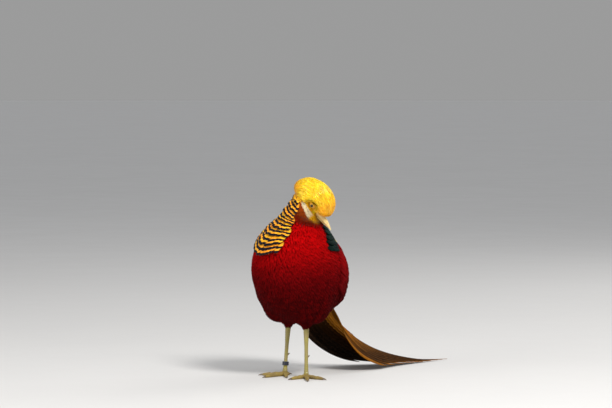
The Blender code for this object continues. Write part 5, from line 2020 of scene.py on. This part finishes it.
@dataclass
class LegRing:
    """The plain dark leg ring round the right shank."""

    inner: float = 4.15 * MM
    outer: float = 5.2 * MM
    half: float = 3.0 * MM

    def build(self) -> list[Piece]:
        """A band with rounded edges on the shank's own axis, 20 mm over the floor.

        Returns:
            One piece.
        """
        foot, hock = BIRD.feet[1], BIRD.hocks[1]
        top, ankle = hock + [0, 0, -0.0003], foot + [0, 0.001, 0.0073]
        centre = ankle + (0.020 - ankle[2]) / (top[2] - ankle[2]) * (top - ankle)
        axis = unit(top - ankle)
        left = unit(np.cross(axis, [0, 1.0, 0]))
        fore = np.cross(left, axis)
        a = circle(64)[:, None]
        b = circle(24)[None, :]
        c, s = np.cos(b), np.sin(b)
        middle, wall = (self.inner + self.outer) / 2, (self.outer - self.inner) / 2
        r = middle + wall * np.sign(c) * np.abs(c) ** 0.35
        h = self.half * np.sign(s) * np.abs(s) ** 0.35
        out = np.cos(a)[..., None] * left + np.sin(a)[..., None] * fore
        points = centre + r[..., None] * out + h[..., None] * axis
        finish = SkinFinish("ring_plastic", (0.006, 0.008, 0.018), (0.010, 0.013, 0.028), 500, roughness=0.5,
                            bump=0.08, coat=0.1).material()
        ring = loft("leg_band", points, finish, ring=True)
        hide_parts("leg_ring")
        return [ring]


@dataclass
class Studio:
    """Floor, lights and the camera at the photograph's angle.

    The focal length, the picture's width, and how far its middle lies aside of and below the
    level axis are in pixels of the photograph; the sensor is in millimetres.
    """

    azimuth: float = 32.0
    away: float = 4.141
    height: float = 0.477
    focal: float = 2588.0
    picture: float = 612.0
    sensor: float = 36.0
    aside: float = 10.0
    below: float = 204.0 - 80.0

    def build(self) -> None:
        """Makes the pale floor, three soft lights, a plain world and the camera."""
        scene = bpy.context.scene
        floor = put_mesh("floor", 60.0 * np.array([[-1, -1, 0], [1, -1, 0], [1, 1, 0], [-1, 1, 0]]),
                         [np.array([[0, 1, 2, 3]])], self.pale(), None, None, False)
        world = bpy.data.worlds.new("studio")
        world.use_nodes = True
        g = Graph(world.node_tree)
        seen = g.add("ShaderNodeLightPath").outputs["Is Camera Ray"]
        sky = world.node_tree.nodes["Background"]
        g.fill(sky, {"Color": g.mix(seen, (0.92, 0.95, 1.0), (0.66, 0.66, 0.66)), "Strength": 0.5})
        scene.world = world
        for name, place, size, power in (("key", (2.0, -1.2, 2.3), 0.8, 92),
                                         ("fill", (-1.0, -2.7, 0.9), 1.8, 34),
                                         ("rim", (0.8, 2.4, 1.8), 1.6, 18)):
            lamp = bpy.data.lights.new(name, "AREA")
            lamp.energy, lamp.size = power, size
            obj = bpy.data.objects.new(name, lamp)
            obj.location = place
            obj.rotation_euler = (Vector((0, 0.05, 0.15)) - Vector(place)).to_track_quat("-Z", "Y").to_euler()
            scene.collection.objects.link(obj)
        scene.view_settings.view_transform = "Standard"
        scene.view_settings.exposure = 0.0
        self.camera()

    def pale(self) -> Material:
        """A matt pale floor."""
        return SkinFinish("floor_pale", (0.70, 0.68, 0.65), (0.685, 0.665, 0.635), 6, roughness=0.85,
                          bump=0.02).material()

    def camera(self) -> None:
        """A camera whose level axis is turned down and aside by the photograph's framing."""
        a = math.radians(self.azimuth)
        data = bpy.data.cameras.new("camera")
        data.sensor_width = self.sensor
        data.lens = self.focal / self.picture * self.sensor
        data.clip_start, data.clip_end = 0.05, 60
        cam = bpy.data.objects.new("camera", data)
        cam.location = (MIDWAY[0] + self.away * math.sin(a), MIDWAY[1] - self.away * math.cos(a), self.height)
        ahead = Vector((-math.sin(a), math.cos(a), 0))
        right = Vector((math.cos(a), math.sin(a), 0))
        aim = ahead + right * (self.aside / self.focal) - Vector((0, 0, 1)) * (self.below / self.focal)
        cam.rotation_euler = aim.to_track_quat("-Z", "Y").to_euler()
        bpy.context.scene.collection.objects.link(cam)
        bpy.context.scene.camera = cam


def main() -> None:
    """Builds every sub-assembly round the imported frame."""
    logging.basicConfig(level=logging.INFO, format="%(name)s: %(message)s")
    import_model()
    Studio().build()
    parts = [Flesh(), Crest(), Cape(), Back(), *map(Wing, Side), Tail(), Bill(), *map(Eye, Side),
             *map(Leg, Side), LegRing()]
    for part in parts:
        for obj in part.build():
            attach(obj, "root")
            LOG.info("%s: %d polygons", obj.name, len(obj.data.polygons))


if __name__ == "__main__":
    main()
